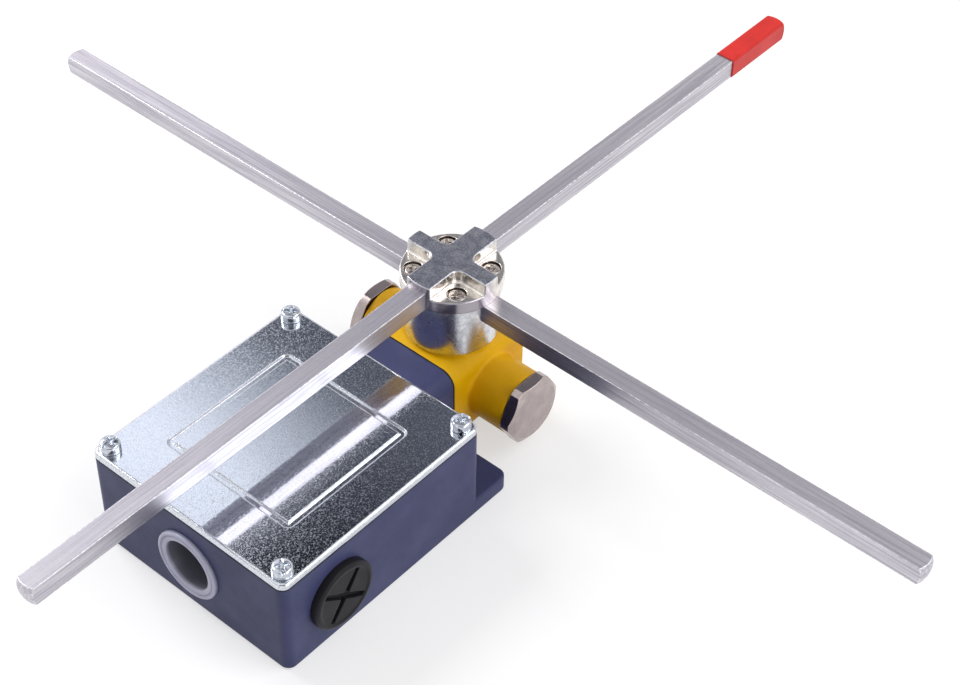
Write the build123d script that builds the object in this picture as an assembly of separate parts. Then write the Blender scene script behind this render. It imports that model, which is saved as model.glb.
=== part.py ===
from build123d import *
import math
import os

# Rod lever limit switch. The origin is the centre of the four mounting holes on the base face.
# +X points to the blanking plug seen in the photo, +Y to the lever head, +Z out of the cover.
# All sizes are in millimetres.

# Fits and gaps
fit = 0.05
running_gap = 0.06
end_play = 0.05
seat_gap = 0.3
screw_tip_gap = 1.0
cut_margin = 1.0

# Housing casting
body_width = 76.2
body_length = 80.4
body_height = 33.6
body_corner = 3.0
base_edge = 0.8
ear_edge = 0.6
wall = 3.5
floor = 3.2
ear_length = 12.9
ear_thickness = 5.7
ear_root_fillet = 1.5
neck_width = 31.0
neck_bottom = 1.2
neck_height = 29.4
neck_length = 13.5
neck_corner = 5.0
passage_width = 16.0
passage_bottom = 10.0
passage_top = 27.0

# Mounting holes and the pads round the two inside the housing
hole_spacing_x = 48.0
hole_spacing_y = 73.5
hole_radius = 2.65
hole_from_front = 12.6
pad_radius = 5.5
pad_top = 6.0
lug_hole_bottom = 0.8
earth_hole_bottom = 2.0

# Cable entries
entry_height = 16.6
entry_radius = 10.2
entry_boss_radius = 13.0
front_boss_depth = 9.0
side_boss_depth = 8.0
side_entry_from_front = 20.6

# Cover, its seal and screws
cover_seal_thickness = 0.5
cover_thickness = 2.0
cover_edge_radius = 0.9
bead_outer_width = 49.2
bead_outer_length = 49.0
bead_from_front = 15.9
bead_width = 2.2
bead_depth = 0.7
bead_floor_chamfer = 0.45
bead_corner = 1.2
cover_screw_inset = 4.1
cover_boss_radius = 4.2
washer_thickness = 0.9
washer_radius = 3.1
washer_split = 0.7
cover_screw_length = 10.0
cover_screw_head_radius = 3.0
cover_screw_head_height = 2.4

# Screw sizes by thread
m3_radius = 1.5
m3_head_radius = 2.75
m3_head_height = 1.8
m4_radius = 2.0
m4_head_radius = 3.6
m4_head_height = 2.4
recess_length_share = 1.25
recess_width_share = 0.32
recess_depth_share = 0.55
slot_width_share = 0.32
slot_depth_share = 0.3
head_rounding_share = 0.45

# Entry sleeve and blanking plugs
sleeve_flange_radius = 11.5
sleeve_flange = 1.3
sleeve_bore_radius = 8.4
sleeve_length = 12.0
sleeve_lead_in = 1.4
sleeve_flange_edge = 0.4
plug_head_radius = 11.25
plug_head = 2.7
plug_edge = 0.6
plug_shank_length = 7.5
plug_wall = 2.0
plug_slot_length = 18.0
plug_slot_width = 1.5
plug_slot_depth = 1.3
plug_slot_turn = 53.6

# Head casting and its seal
neck_seal_thickness = 0.6
head_width = 31.2
head_height = 29.2
head_front_depth = 16.3
head_rear_depth = 16.0
head_rear_edge = 1.0
boss_radius = 14.0
boss_rise = 0.4
barrel_blend = 1.0
barrel_radius = 10.4
barrel_half_length = 28.8
barrel_height = 15.7
head_screw_x = 12.2
head_screw_z = 10.9
head_screw_grip = 8.0

# Shaft and what turns on it
journal_radius = 3.0
seat_radius = 3.5
upper_journal_radius = 4.5
collar_radius = 6.0
collar_thickness = 1.15
drive_square = 6.3
shaft_bottom = 3.6
cavity_floor = 9.0
bush_wall = 1.5
bush_flange = 0.8
bush_flange_radius = 6.0
bush_bottom = 3.2
detent_half = 6.0
detent_corner_radius = 7.5
detent_top = 21.7
cam_thickness = 3.3
cam_mean_radius = 6.2
cam_rise = 0.6
lever_min = -90.0
lever_max = 180.0
cam_overrun = 18.0
cam_steps = 24
pin_radius = 1.0
pin_height = 12.4
pin_inset = 0.2
detent_cavity_radius = 8.0
cam_cavity_radius = 8.8
plug_thread_radius = 9.6
bearing_plug_gap = 0.3
bearing_plug_height = 3.9
key_hole_radius = 0.9
key_hole_circle = 8.3
key_hole_floor = 1.0
seal_radius = 7.2
seal_height = 2.0
seal_hollow = 0.7

# Detent plungers, springs and caps
plunger_radius = 5.9
plunger_length = 12.0
plunger_face = 7.6
plunger_wall = 1.7
plunger_floor = 4.0
plunger_edge = 0.3
spring_wire_radius = 0.45
spring_radius = 3.4
spring_turns = 6
cap_thread_radius = 8.9
cap_stem = 6.4
cap_pocket_radius = 4.4
cap_pocket_floor = 1.8
cap_seal_thickness = 0.5
cap_seal_radius = 9.9
cap_head = 4.3
cap_radius = 11.4
cap_flats = 20.8
cap_face_radius = 9.3
cap_chamfer_angle = 30.0
cap_turn = 30.0

# Rod clamp and rods
rod_side = 6.3
rod_fit = 0.04
rod_reach_front = 164.7
rod_reach_back = 165.7
rod_reach_left = 169.4
rod_reach_right = 167.0
rod_dome_radius = 7.5
sleeve_wall = 0.4
sleeve_corner = 0.8
rod_sleeve_length = 30.0
hub_gap = 0.4
hub_base_radius = 14.55
hub_base_height = 18.1
hub_socket_depth = 9.3
hub_cap_radius = 15.7
hub_rim_height = 4.2
hub_cap_height = 8.4
arm_width_y = 9.0
arm_width_x = 5.7
arm_fillet = 2.5
arm_edge = 0.4
arm_foot_fillet = 0.8
hub_bottom_edge = 0.4
hub_screw_x = 8.6
hub_screw_y = 7.7
hub_screw_length = 12.0
hub_counterbore = 0.25
fixing_head_radius = 2.75
fixing_head_height = 1.7
fixing_length = 9.0

# Contact block, carrier and contacts
tappet_stem_radius = 2.5
tappet_tip_radius = 1.5
tappet_tip_length = 3.6
block_half_width = 20.0
block_bottom = 5.2
block_base = 3.0
block_shelf_top = 19.0
block_top = 27.0
block_from_front = 38.6
block_length = 32.0
block_end_wall = 2.5
channel_half_width = 9.5
channel_wall = 1.0
lug_length = 5.0
lug_half_width = 5.5
block_screw_head_radius = 2.35
block_screw_tip = 1.5
carrier_from_front = 45.6
carrier_length = 18.0
carrier_top = 26.0
bridge_half_length = 16.0
bridge_thickness = 1.0
bridge_height = 4.0
bridge_level = 22.6
bridge_offset = 4.0
bridge_slot_gap = 0.3
contact_pad_x = 14.5
contact_pad_radius = 1.3
contact_pad_height = 0.5
contact_gap = 0.1
strip_thickness = 1.0
strip_inner = 11.0
strip_outer = 19.0
strip_length = 7.5
tab_half_width = 2.0
terminal_radius = 1.75
terminal_head_radius = 2.8
terminal_head_height = 1.8
terminal_screw_length = 7.0
return_wire_radius = 0.4
return_spring_radius = 3.0
return_spring_turns = 4
return_pocket = 3.5
return_spring_drop = 3.0
earth_x = -28.0
earth_from_front = 46.6
earth_boss_radius = 4.2
earth_boss_top = 8.0
earth_screw_length = 5.0

# Stations that follow from the sizes above
front_y = -hole_from_front - hole_spacing_y / 2
back_y = front_y + body_length
mid_y = front_y + body_length / 2
neck_end_y = back_y + neck_length
head_start_y = neck_end_y + neck_seal_thickness
axis_y = head_start_y + head_front_depth
head_end_y = axis_y + head_rear_depth
side_entry_y = front_y + side_entry_from_front
head_middle = neck_bottom + neck_height / 2
head_top = head_middle + head_height / 2
boss_top = head_top + boss_rise
cover_bottom = body_height + cover_seal_thickness
cover_top = cover_bottom + cover_thickness
detent_bottom = cavity_floor + bush_flange + end_play
cam_top = detent_top + cam_thickness
cam_middle = detent_top + cam_thickness / 2
return_spring_z = cam_middle - return_spring_drop
collar_top = cam_top + collar_thickness
bearing_bottom = collar_top + bearing_plug_gap
bearing_top = bearing_bottom + bearing_plug_height
hub_bottom = boss_top + hub_gap
split_z = hub_bottom + hub_base_height
shaft_top = hub_bottom + hub_socket_depth
rod_low_z = split_z - rod_side / 2
rod_high_z = split_z + rod_side / 2
cap_face = barrel_half_length + cap_seal_thickness
stem_inner = cap_face - cap_stem
cover_screw_x = body_width / 2 - cover_screw_inset
cover_screw_y = body_length / 2 - cover_screw_inset
plunger_bore_radius = plunger_radius + running_gap
tappet_guide_radius = tappet_stem_radius + running_gap
block_y = front_y + block_from_front
block_end_y = block_y + block_length
carrier_y = front_y + carrier_from_front
carrier_mid_y = carrier_y + carrier_length / 2
stroke_out = cam_rise * math.radians(-lever_min)
stroke_in = cam_rise * math.radians(lever_max)


def post(radius, low, high, x=0.0, y=0.0):
    """Upright cylinder between two heights."""
    return Pos(x, y, (low + high) / 2) * Cylinder(radius, high - low)


def bar_x(radius, start, end, y, z):
    """Cylinder along X."""
    return Pos((start + end) / 2, y, z) * Rot(0, 90, 0) * Cylinder(radius, abs(end - start))


def bar_y(radius, start, end, x, z):
    """Cylinder along Y."""
    return Pos(x, (start + end) / 2, z) * Rot(90, 0, 0) * Cylinder(radius, abs(end - start))


def slab(x0, x1, y0, y1, z0, z1):
    """Box between two corners."""
    return Pos((x0 + x1) / 2, (y0 + y1) / 2, (z0 + z1) / 2) * Box(x1 - x0, y1 - y0, z1 - z0)


def prism(outline, low, high):
    """Flat outline in the XY plane, raised between two heights."""
    return Pos(0, 0, low) * extrude(outline, high - low)


def prism_y(width, height, corner, start, end, z):
    """Rounded rectangle in the XZ plane, run along Y."""
    outline = Plane.XZ * RectangleRounded(width, height, corner)
    return Pos(0, start, z) * extrude(outline, -(end - start))


def corner_places(x, y, mid=0.0):
    """The four corners of a rectangle."""
    return [(sx * x, mid + sy * y) for sx in (-1, 1) for sy in (-1, 1)]


def joined(solids):
    """Separate solids kept in one node."""
    return Compound(children=list(solids))


def cross_recess(head_radius, head_height):
    """Tool for the cross recess in a screw head whose top is at z = 0."""
    length = head_radius * recess_length_share
    width = head_radius * recess_width_share
    depth = head_height * recess_depth_share
    arm = Pos(0, 0, -depth / 2) * Box(length, width, depth)
    return arm + Rot(0, 0, 90) * arm


def pan_screw(radius, head_radius, head_height, length, slotted=False):
    """Pan-head screw along Z, with the seat of its head at z = 0; a slot may cross its recess."""
    head = Cylinder(head_radius, head_height, align=(Align.CENTER, Align.CENTER, Align.MIN))
    rim = head.edges().group_by(Axis.Z)[-1]
    head = fillet(rim, head_height * head_rounding_share)
    head -= Pos(0, 0, head_height) * cross_recess(head_radius, head_height)
    if slotted:
        depth = head_height * slot_depth_share
        slot = Box(2 * head_radius, head_radius * slot_width_share, depth)
        head -= Pos(0, 0, head_height - depth / 2) * slot
    shank = Cylinder(radius, length, align=(Align.CENTER, Align.CENTER, Align.MAX))
    return head + shank


def coil(radius, wire, length, turns):
    """Open helical spring along Z from z = 0, kept within its length."""
    rise = length - 2 * wire
    path = Pos(0, 0, wire) * Helix(rise / turns, rise, radius)
    section = Plane(origin=path @ 0, z_dir=path % 0) * Circle(wire)
    return sweep(section, path=path, is_frenet=True)


def rim_outline():
    """Wall of the housing seen from above, with its four screw bosses."""
    ring = RectangleRounded(body_width, body_length, body_corner)
    ring -= Rectangle(body_width - 2 * wall, body_length - 2 * wall)
    for x, y in corner_places(cover_screw_x, cover_screw_y):
        ring += Pos(x, y) * Circle(cover_boss_radius)
    return ring & RectangleRounded(body_width, body_length, body_corner)


def housing_casting():
    """Die-cast box with a neck for the head, a mounting ear and three cable entries."""
    body = Pos(0, mid_y) * prism(RectangleRounded(body_width, body_length, body_corner), 0, body_height)
    ear = RectangleRounded(body_width, ear_length + 2 * body_corner, body_corner)
    ear_mid = back_y + ear_length / 2 - body_corner
    ear = Pos(0, ear_mid) * prism(ear, 0, ear_thickness)
    body += fillet(ear.edges().group_by(Axis.Z)[-1], ear_edge)
    body = fillet(body.edges().group_by(Axis.Z)[0], base_edge)
    cove_half = body_width / 2 - body_corner
    cove_top = ear_thickness + ear_root_fillet
    cove = slab(-cove_half, cove_half, back_y, back_y + ear_root_fillet, ear_thickness, cove_top)
    cove -= bar_x(ear_root_fillet, -cove_half, cove_half, back_y + ear_root_fillet, cove_top)
    body += cove
    body += prism_y(neck_width, neck_height, neck_corner, back_y - wall, neck_end_y, head_middle)
    hollow = Rectangle(body_width - 2 * wall, body_length - 2 * wall)
    cavity = Pos(0, mid_y) * prism(hollow, floor, body_height)
    bosses = Pos(0, mid_y) * prism(rim_outline(), floor, body_height)
    bosses += bar_y(entry_boss_radius, front_y + wall / 2, front_y + front_boss_depth, 0, entry_height)
    for side in (-1, 1):
        inner = side * (body_width / 2 - side_boss_depth)
        outer = side * (body_width / 2 - wall / 2)
        bosses += bar_x(entry_boss_radius, inner, outer, side_entry_y, entry_height)
        bosses += post(pad_radius, floor, pad_top, side * hole_spacing_x / 2, front_y + hole_from_front)
    bosses += post(earth_boss_radius, floor, earth_boss_top, earth_x, front_y + earth_from_front)
    for y in lug_places():
        bosses += post(cover_boss_radius, floor, block_bottom, 0, y)
    body = (body - cavity) + (bosses & cavity)
    front_boss_end = front_y + front_boss_depth
    body -= bar_y(entry_radius, front_y - cut_margin, front_boss_end + cut_margin, 0, entry_height)
    for side in (-1, 1):
        inner = side * (body_width / 2 - side_boss_depth - cut_margin)
        outer = side * (body_width / 2 + cut_margin)
        body -= bar_x(entry_radius, inner, outer, side_entry_y, entry_height)
    body -= slab(-passage_width / 2, passage_width / 2, back_y - wall - cut_margin, neck_end_y + cut_margin,
                 passage_bottom, passage_top)
    for x, y in corner_places(hole_spacing_x / 2, hole_spacing_y / 2):
        body -= post(hole_radius, -cut_margin, pad_top + cut_margin, x, y)
    for x, y in corner_places(cover_screw_x, cover_screw_y, mid_y):
        body -= post(m3_radius + fit, body_height - cover_screw_length, body_height, x, y)
    for x, z in corner_places(head_screw_x, head_screw_z, head_middle):
        body -= bar_y(m3_radius + fit, neck_end_y - head_screw_grip - screw_tip_gap, neck_end_y, x, z)
    for y in lug_places():
        body -= post(m3_radius + fit, lug_hole_bottom, block_bottom, 0, y)
    body -= post(m4_radius + fit, earth_hole_bottom, earth_boss_top, earth_x, front_y + earth_from_front)
    return body


def cover_gasket():
    """Flat seal that follows the housing's rim."""
    seal = Pos(0, mid_y) * prism(rim_outline(), body_height, cover_bottom)
    for x, y in corner_places(cover_screw_x, cover_screw_y, mid_y):
        seal -= post(m3_radius + fit, body_height, cover_bottom, x, y)
    return seal


def cover_plate():
    """Pressed steel cover with a sunk rectangular bead round its field."""
    plate = prism(RectangleRounded(body_width, body_length, body_corner), cover_bottom, cover_top)
    plate = Pos(0, mid_y) * fillet(plate.edges().group_by(Axis.Z)[-1], cover_edge_radius)
    bead_y = front_y + bead_from_front + bead_outer_length / 2
    outer = RectangleRounded(bead_outer_width, bead_outer_length, bead_corner + bead_width / 2)
    inner = Rectangle(bead_outer_width - 2 * bead_width, bead_outer_length - 2 * bead_width)
    bead = Pos(0, bead_y) * prism(outer - inner, cover_top - bead_depth, cover_top)
    low_edges = bead.edges().group_by(Axis.Z)[0].filter_by(GeomType.LINE)
    plate -= chamfer(low_edges, bead_floor_chamfer)
    for x, y in corner_places(cover_screw_x, cover_screw_y, mid_y):
        plate -= post(m3_radius + fit, cover_bottom, cover_top, x, y)
    return plate


def cover_screw_washers():
    """Split spring washers under the cover screws."""
    top = cover_top + washer_thickness
    ring = post(washer_radius, cover_top, top) - post(m3_radius + fit, cover_top, top)
    ring -= slab(0, washer_radius, -washer_split / 2, washer_split / 2, cover_top, top)
    return joined(Pos(x, y, 0) * ring for x, y in corner_places(cover_screw_x, cover_screw_y, mid_y))


def cover_screws():
    """Pan-head screws at the cover's corners."""
    length = washer_thickness + cover_thickness + cover_seal_thickness + cover_screw_length - screw_tip_gap
    screw = pan_screw(m3_radius, cover_screw_head_radius, cover_screw_head_height, length, slotted=True)
    top = cover_top + washer_thickness
    return joined(Pos(x, y, top) * screw for x, y in corner_places(cover_screw_x, cover_screw_y, mid_y))


def entry_sleeve():
    """Flanged plastic sleeve in the front cable entry."""
    start = -sleeve_flange
    profile = Polyline(
        (sleeve_bore_radius + sleeve_lead_in, start),
        (sleeve_flange_radius - sleeve_flange_edge, start),
        (sleeve_flange_radius, start + sleeve_flange_edge),
        (sleeve_flange_radius, 0),
        (entry_radius - fit, 0),
        (entry_radius - fit, sleeve_length),
        (sleeve_bore_radius, sleeve_length),
        (sleeve_bore_radius, start + sleeve_lead_in),
        (sleeve_bore_radius + sleeve_lead_in, start),
    )
    ring = revolve(make_face(Plane.XZ * profile), Axis.Z)
    return Pos(0, front_y, entry_height) * Rot(-90, 0, 0) * ring


def blank_plug():
    """Screw-in blanking plug along Z, with its head above z = 0 and two crossed slots."""
    head = Cylinder(plug_head_radius, plug_head, align=(Align.CENTER, Align.CENTER, Align.MIN))
    head = fillet(head.edges().group_by(Axis.Z)[-1], plug_edge)
    shank = Cylinder(entry_radius - fit, plug_shank_length, align=(Align.CENTER, Align.CENTER, Align.MAX))
    hollow = Cylinder(entry_radius - fit - plug_wall, plug_shank_length - plug_wall,
                      align=(Align.CENTER, Align.CENTER, Align.MAX))
    shank -= Pos(0, 0, -plug_wall) * hollow
    slot = Box(plug_slot_length, plug_slot_width, plug_slot_depth)
    slot = Pos(0, 0, plug_head - plug_slot_depth / 2) * slot
    return head + shank - slot - Rot(0, 0, 90) * slot


def blank_plug_on(side):
    """Blanking plug in the cable entry on one side; side is 1 or -1."""
    turned = Rot(0, side * 90, 0) * Rot(0, 0, plug_slot_turn) * blank_plug()
    return Pos(side * body_width / 2, side_entry_y, entry_height) * turned


def neck_gasket():
    """Flat seal between the neck and the head."""
    seal = prism_y(neck_width, neck_height, neck_corner, neck_end_y, head_start_y, head_middle)
    seal -= slab(-passage_width / 2, passage_width / 2, neck_end_y, head_start_y, passage_bottom, passage_top)
    for x, z in corner_places(head_screw_x, head_screw_z, head_middle):
        seal -= bar_y(m3_radius + fit, neck_end_y, head_start_y, x, z)
    return seal


def head_casting():
    """Head block with a cross barrel, bored for the shaft, the detent plungers and the tappet."""
    block = prism_y(head_width, head_height, neck_corner, head_start_y, head_end_y, head_middle)
    block = fillet(block.edges().group_by(Axis.Y)[-1], head_rear_edge)
    block += bar_x(barrel_radius, -barrel_half_length, barrel_half_length, axis_y, barrel_height)
    sides = [edge for edge in block.edges() if abs(abs(edge.center().X) - head_width / 2) < fit]
    joints = [edge for edge in sides if edge.geom_type == GeomType.CIRCLE and edge.radius > neck_corner]
    block = fillet(joints, barrel_blend)
    block += post(boss_radius, head_middle, boss_top, 0, axis_y)
    block -= post(journal_radius + bush_wall, bush_bottom, cavity_floor, 0, axis_y)
    block -= post(detent_cavity_radius, cavity_floor, detent_top, 0, axis_y)
    block -= post(cam_cavity_radius, detent_top, bearing_bottom, 0, axis_y)
    block -= post(plug_thread_radius + fit, bearing_bottom, boss_top, 0, axis_y)
    bore_end = barrel_half_length + cut_margin
    block -= bar_x(plunger_bore_radius, -bore_end, bore_end, axis_y, barrel_height)
    for side in (-1, 1):
        block -= bar_x(cap_thread_radius + fit, side * (stem_inner - seat_gap), side * bore_end,
                       axis_y, barrel_height)
    guide_end = axis_y - cam_cavity_radius / 2
    block -= bar_y(tappet_guide_radius, head_start_y - cut_margin, guide_end, 0, cam_middle)
    for x, z in corner_places(head_screw_x, head_screw_z, head_middle):
        block -= bar_y(m3_radius + fit, head_start_y - cut_margin, head_end_y + cut_margin, x, z)
    return block


def head_screws():
    """Long screws from the rear of the head into the neck."""
    length = head_end_y - neck_end_y + head_screw_grip
    screw = pan_screw(m3_radius, m3_head_radius, m3_head_height, length)
    places = corner_places(head_screw_x, head_screw_z, head_middle)
    return joined(Pos(x, head_end_y, z) * Rot(-90, 0, 0) * screw for x, z in places)


def lower_bush():
    """Flanged bronze bush in the floor of the head."""
    bush = post(journal_radius + bush_wall - fit, bush_bottom, cavity_floor, 0, axis_y)
    bush += post(bush_flange_radius, cavity_floor, cavity_floor + bush_flange, 0, axis_y)
    bush -= post(journal_radius + running_gap, bush_bottom, detent_bottom, 0, axis_y)
    return bush


def bearing_plug():
    """Screw-in upper bearing with two key holes and a pocket for the shaft seal."""
    plug = post(plug_thread_radius, bearing_bottom, bearing_top)
    plug -= post(upper_journal_radius + running_gap, bearing_bottom, bearing_top)
    plug -= post(seal_radius, bearing_top - seal_height, bearing_top)
    for side in (-1, 1):
        plug -= post(key_hole_radius, bearing_bottom + key_hole_floor, bearing_top, side * key_hole_circle, 0)
    return Pos(0, axis_y, 0) * plug


def shaft_seal():
    """Rubber lip ring round the shaft."""
    inner = upper_journal_radius + running_gap
    low = bearing_top - seal_height
    ring = post(seal_radius, low, bearing_top) - post(inner, low, bearing_top)
    lip = (inner + seal_radius) / 2
    ring -= post(lip + seal_hollow, bearing_top - seal_hollow, bearing_top)
    ring += post(inner + seal_hollow, bearing_top - seal_hollow, bearing_top)
    ring -= post(inner, bearing_top - seal_hollow, bearing_top)
    return Pos(0, axis_y, 0) * ring


def lever_shaft():
    """Stepped shaft: lower journal, seat for block and cam, collar, upper journal, drive square."""
    shaft = post(journal_radius, shaft_bottom, detent_bottom)
    shaft += post(seat_radius, detent_bottom, cam_top)
    shaft += post(collar_radius, cam_top, collar_top)
    shaft += post(upper_journal_radius, collar_top, hub_bottom)
    shaft += Pos(0, 0, (hub_bottom + shaft_top) / 2) * Box(drive_square, drive_square, shaft_top - hub_bottom)
    shaft -= post(m3_radius + fit, shaft_top - fixing_length, shaft_top)
    shaft -= bar_x(pin_radius + fit, -seat_radius, seat_radius, 0, pin_height)
    return Pos(0, axis_y, 0) * shaft


def detent_block():
    """Hardened square with turned corners, whose four flats give the four stations."""
    flats = Rectangle(2 * detent_half, 2 * detent_half) & Circle(detent_corner_radius)
    block = prism(flats - Circle(seat_radius + fit), detent_bottom, detent_top)
    block -= bar_x(pin_radius + fit, -detent_half - cut_margin, detent_half + cut_margin, 0, pin_height)
    return Pos(0, axis_y, 0) * block


def drive_pin():
    """Cross pin that drives the detent block."""
    return bar_x(pin_radius, -detent_half + pin_inset, detent_half - pin_inset, axis_y, pin_height)


def cam_radius(turn):
    """Radius of the switching cam under the tappet after a turn of the lever, in degrees."""
    return cam_mean_radius + cam_rise * math.radians(turn)


def switching_cam():
    """Spiral cam: it pushes the tappet in by the same amount for each degree of turn."""
    first = lever_min - cam_overrun
    last = lever_max + cam_overrun
    turns = [first + (last - first) * i / cam_steps for i in range(cam_steps + 1)]
    spiral = []
    for turn in turns:
        place = math.radians(-90 - turn)
        spiral.append((cam_radius(turn) * math.cos(place), cam_radius(turn) * math.sin(place)))
    face = make_face([Spline(*spiral), Line(spiral[-1], spiral[0])])
    cam = prism(face - Circle(seat_radius + fit), detent_top, cam_top)
    return Pos(0, axis_y, 0) * cam


def hub_base():
    """Lower half of the rod clamp, with the drive socket below and a slot for one rod above."""
    base = post(hub_base_radius, hub_bottom, split_z)
    base = fillet(base.edges().group_by(Axis.Z)[0], hub_bottom_edge)
    socket = drive_square + 2 * fit
    base -= Pos(0, 0, (hub_bottom + shaft_top) / 2) * Box(socket, socket, shaft_top - hub_bottom)
    slot_half = rod_side / 2 + rod_fit
    base -= slab(-hub_base_radius, hub_base_radius, -slot_half, slot_half, split_z - rod_side, split_z)
    base -= post(m3_radius + fit, shaft_top, split_z - rod_side)
    base -= Pos(0, 0, split_z - rod_side - fixing_head_height / 2) * Cone(
        m3_radius + fit, fixing_head_radius + fit, fixing_head_height)
    for x, y in corner_places(hub_screw_x, hub_screw_y):
        base -= post(m3_radius + fit, split_z - hub_screw_length, split_z, x, y)
    return Pos(0, axis_y, 0) * base


def hub_cap():
    """Upper half of the rod clamp: a cross standing on a disc, with a channel for the other rod."""
    top = split_z + hub_cap_height
    rim = split_z + hub_rim_height
    blank = 2 * (hub_cap_radius + cut_margin)
    arms = Rectangle(arm_width_y, blank) + Rectangle(blank, arm_width_x)
    arms = fillet(arms.vertices().filter_by_position(Axis.X, -arm_width_y, arm_width_y)
                  .filter_by_position(Axis.Y, -arm_width_x, arm_width_x), arm_fillet)
    cap = prism(Rectangle(blank, blank), split_z, rim) + prism(arms, rim, top)
    foot = [edge for edge in cap.edges().filter_by_position(Axis.Z, rim, rim)
            if max(abs(edge.center().X), abs(edge.center().Y)) < hub_cap_radius]
    cap = fillet(foot, arm_foot_fillet) & post(hub_cap_radius, split_z, top)
    outside = [edge for edge in cap.edges().filter_by(GeomType.CIRCLE)
               if abs(edge.radius - hub_cap_radius) < fit and split_z < edge.center().Z < top]
    cap = fillet(cap.edges().group_by(Axis.Z)[-1] + outside, arm_edge)
    channel = rod_side / 2 + rod_fit
    cap -= slab(-channel, channel, -hub_cap_radius, hub_cap_radius, split_z, split_z + rod_side)
    seat = rim - m3_head_height - hub_counterbore
    for x, y in corner_places(hub_screw_x, hub_screw_y):
        cap -= post(m3_radius + fit, split_z, rim, x, y)
        cap -= post(m3_head_radius + seat_gap, seat, rim, x, y)
    return Pos(0, axis_y, 0) * cap


def hub_screws():
    """Four screws that clamp the rods between the two halves."""
    seat = split_z + hub_rim_height - m3_head_height - hub_counterbore
    length = seat - split_z + hub_screw_length - screw_tip_gap
    screw = pan_screw(m3_radius, m3_head_radius, m3_head_height, length)
    return joined(Pos(x, y, seat) * screw for x, y in corner_places(hub_screw_x, hub_screw_y, axis_y))


def hub_fixing_screw():
    """Countersunk screw under the lower rod, from the clamp into the shaft."""
    top = split_z - rod_side
    head = Pos(0, 0, -fixing_head_height / 2) * Cone(m3_radius, fixing_head_radius, fixing_head_height)
    head -= cross_recess(fixing_head_radius, fixing_head_height)
    shank = Cylinder(m3_radius, top - shaft_top + fixing_length - screw_tip_gap,
                     align=(Align.CENTER, Align.CENTER, Align.MAX))
    return Pos(0, axis_y, top) * (head + shank)


def square_rod(start, end, side=rod_side, dome=rod_dome_radius):
    """Square bar along X between two ends, each turned to a dome."""
    bar = Pos((start + end) / 2, 0, 0) * Box(end - start, side, side)
    near = start + dome
    far = end - dome
    turned = bar_x(dome, near, far, 0, 0)
    turned += Pos(near, 0, 0) * Sphere(dome)
    turned += Pos(far, 0, 0) * Sphere(dome)
    return bar & turned


def rod_lower():
    """Bar along X in the slot of the clamp's lower half."""
    return Pos(0, axis_y, rod_low_z) * square_rod(-rod_reach_left, rod_reach_right)


def rod_upper():
    """Bar along Y in the channel of the clamp's upper half."""
    return Pos(0, axis_y, rod_high_z) * Rot(0, 0, 90) * square_rod(-rod_reach_front, rod_reach_back)


def rod_sleeve():
    """Dipped sleeve on the rear end of the upper rod; it follows the rod's dome."""
    outer = rod_side + 2 * sleeve_wall
    end = rod_reach_back + sleeve_wall
    skin = prism_y(outer, outer, sleeve_corner, end - rod_sleeve_length, end, 0)
    skin &= Rot(0, 0, 90) * square_rod(-rod_reach_front, end, outer, rod_dome_radius + sleeve_wall)
    rod = Rot(0, 0, 90) * square_rod(-rod_reach_front, rod_reach_back)
    return Pos(0, axis_y, rod_high_z) * (skin - rod)


def detent_plunger():
    """Cup-shaped plunger along Z, with its flat face at z = 0."""
    cup = Cylinder(plunger_radius, plunger_length, align=(Align.CENTER, Align.CENTER, Align.MIN))
    cup = chamfer(cup.edges().group_by(Axis.Z)[0], plunger_edge)
    hollow = Cylinder(plunger_radius - plunger_wall, plunger_length - plunger_floor,
                      align=(Align.CENTER, Align.CENTER, Align.MIN))
    return cup - Pos(0, 0, plunger_floor) * hollow


def detent_spring():
    """Spring along Z between a plunger's floor and the pocket of its cap."""
    length = cap_face - cap_pocket_floor - plunger_face - plunger_floor
    return Pos(0, 0, plunger_floor) * coil(spring_radius, spring_wire_radius, length, spring_turns)


def detent_cap():
    """Plated cap along Z: hexagon with turned corners outside, threaded stem with a pocket inside."""
    stem = Cylinder(cap_thread_radius, cap_stem, align=(Align.CENTER, Align.CENTER, Align.MAX))
    flats = Rot(0, 0, cap_turn) * RegularPolygon(cap_flats / 2, 6, major_radius=False) & Circle(cap_radius)
    cone_foot = cap_face_radius + cap_head / math.tan(math.radians(cap_chamfer_angle))
    cone = Cone(cone_foot, cap_face_radius, cap_head, align=(Align.CENTER, Align.CENTER, Align.MIN))
    head = extrude(flats, cap_head) & cone
    pocket = Cylinder(cap_pocket_radius, cap_stem - cap_pocket_floor,
                      align=(Align.CENTER, Align.CENTER, Align.MAX))
    return head + stem - Pos(0, 0, -cap_pocket_floor) * pocket


def cap_seal():
    """Flat seal along Z between the barrel's end and the cap."""
    ring = Cylinder(cap_seal_radius, cap_seal_thickness, align=(Align.CENTER, Align.CENTER, Align.MIN))
    return ring - Cylinder(cap_thread_radius + fit, 2 * cap_seal_thickness)


def on_barrel(piece, side, distance):
    """Place a piece made along Z on the barrel's axis, pointing out to one side."""
    return Pos(side * distance, axis_y, barrel_height) * Rot(0, side * 90, 0) * piece


def tappet():
    """Push rod from the cam through the head's wall to the contact carrier."""
    tip = axis_y - cam_mean_radius - running_gap
    shoulder = tip - tappet_tip_length
    rod = bar_y(tappet_tip_radius, shoulder, tip - tappet_tip_radius, 0, cam_middle)
    rod += Pos(0, tip - tappet_tip_radius, cam_middle) * Sphere(tappet_tip_radius)
    rod += bar_y(tappet_stem_radius, carrier_y + carrier_length, shoulder, 0, cam_middle)
    return rod


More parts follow.
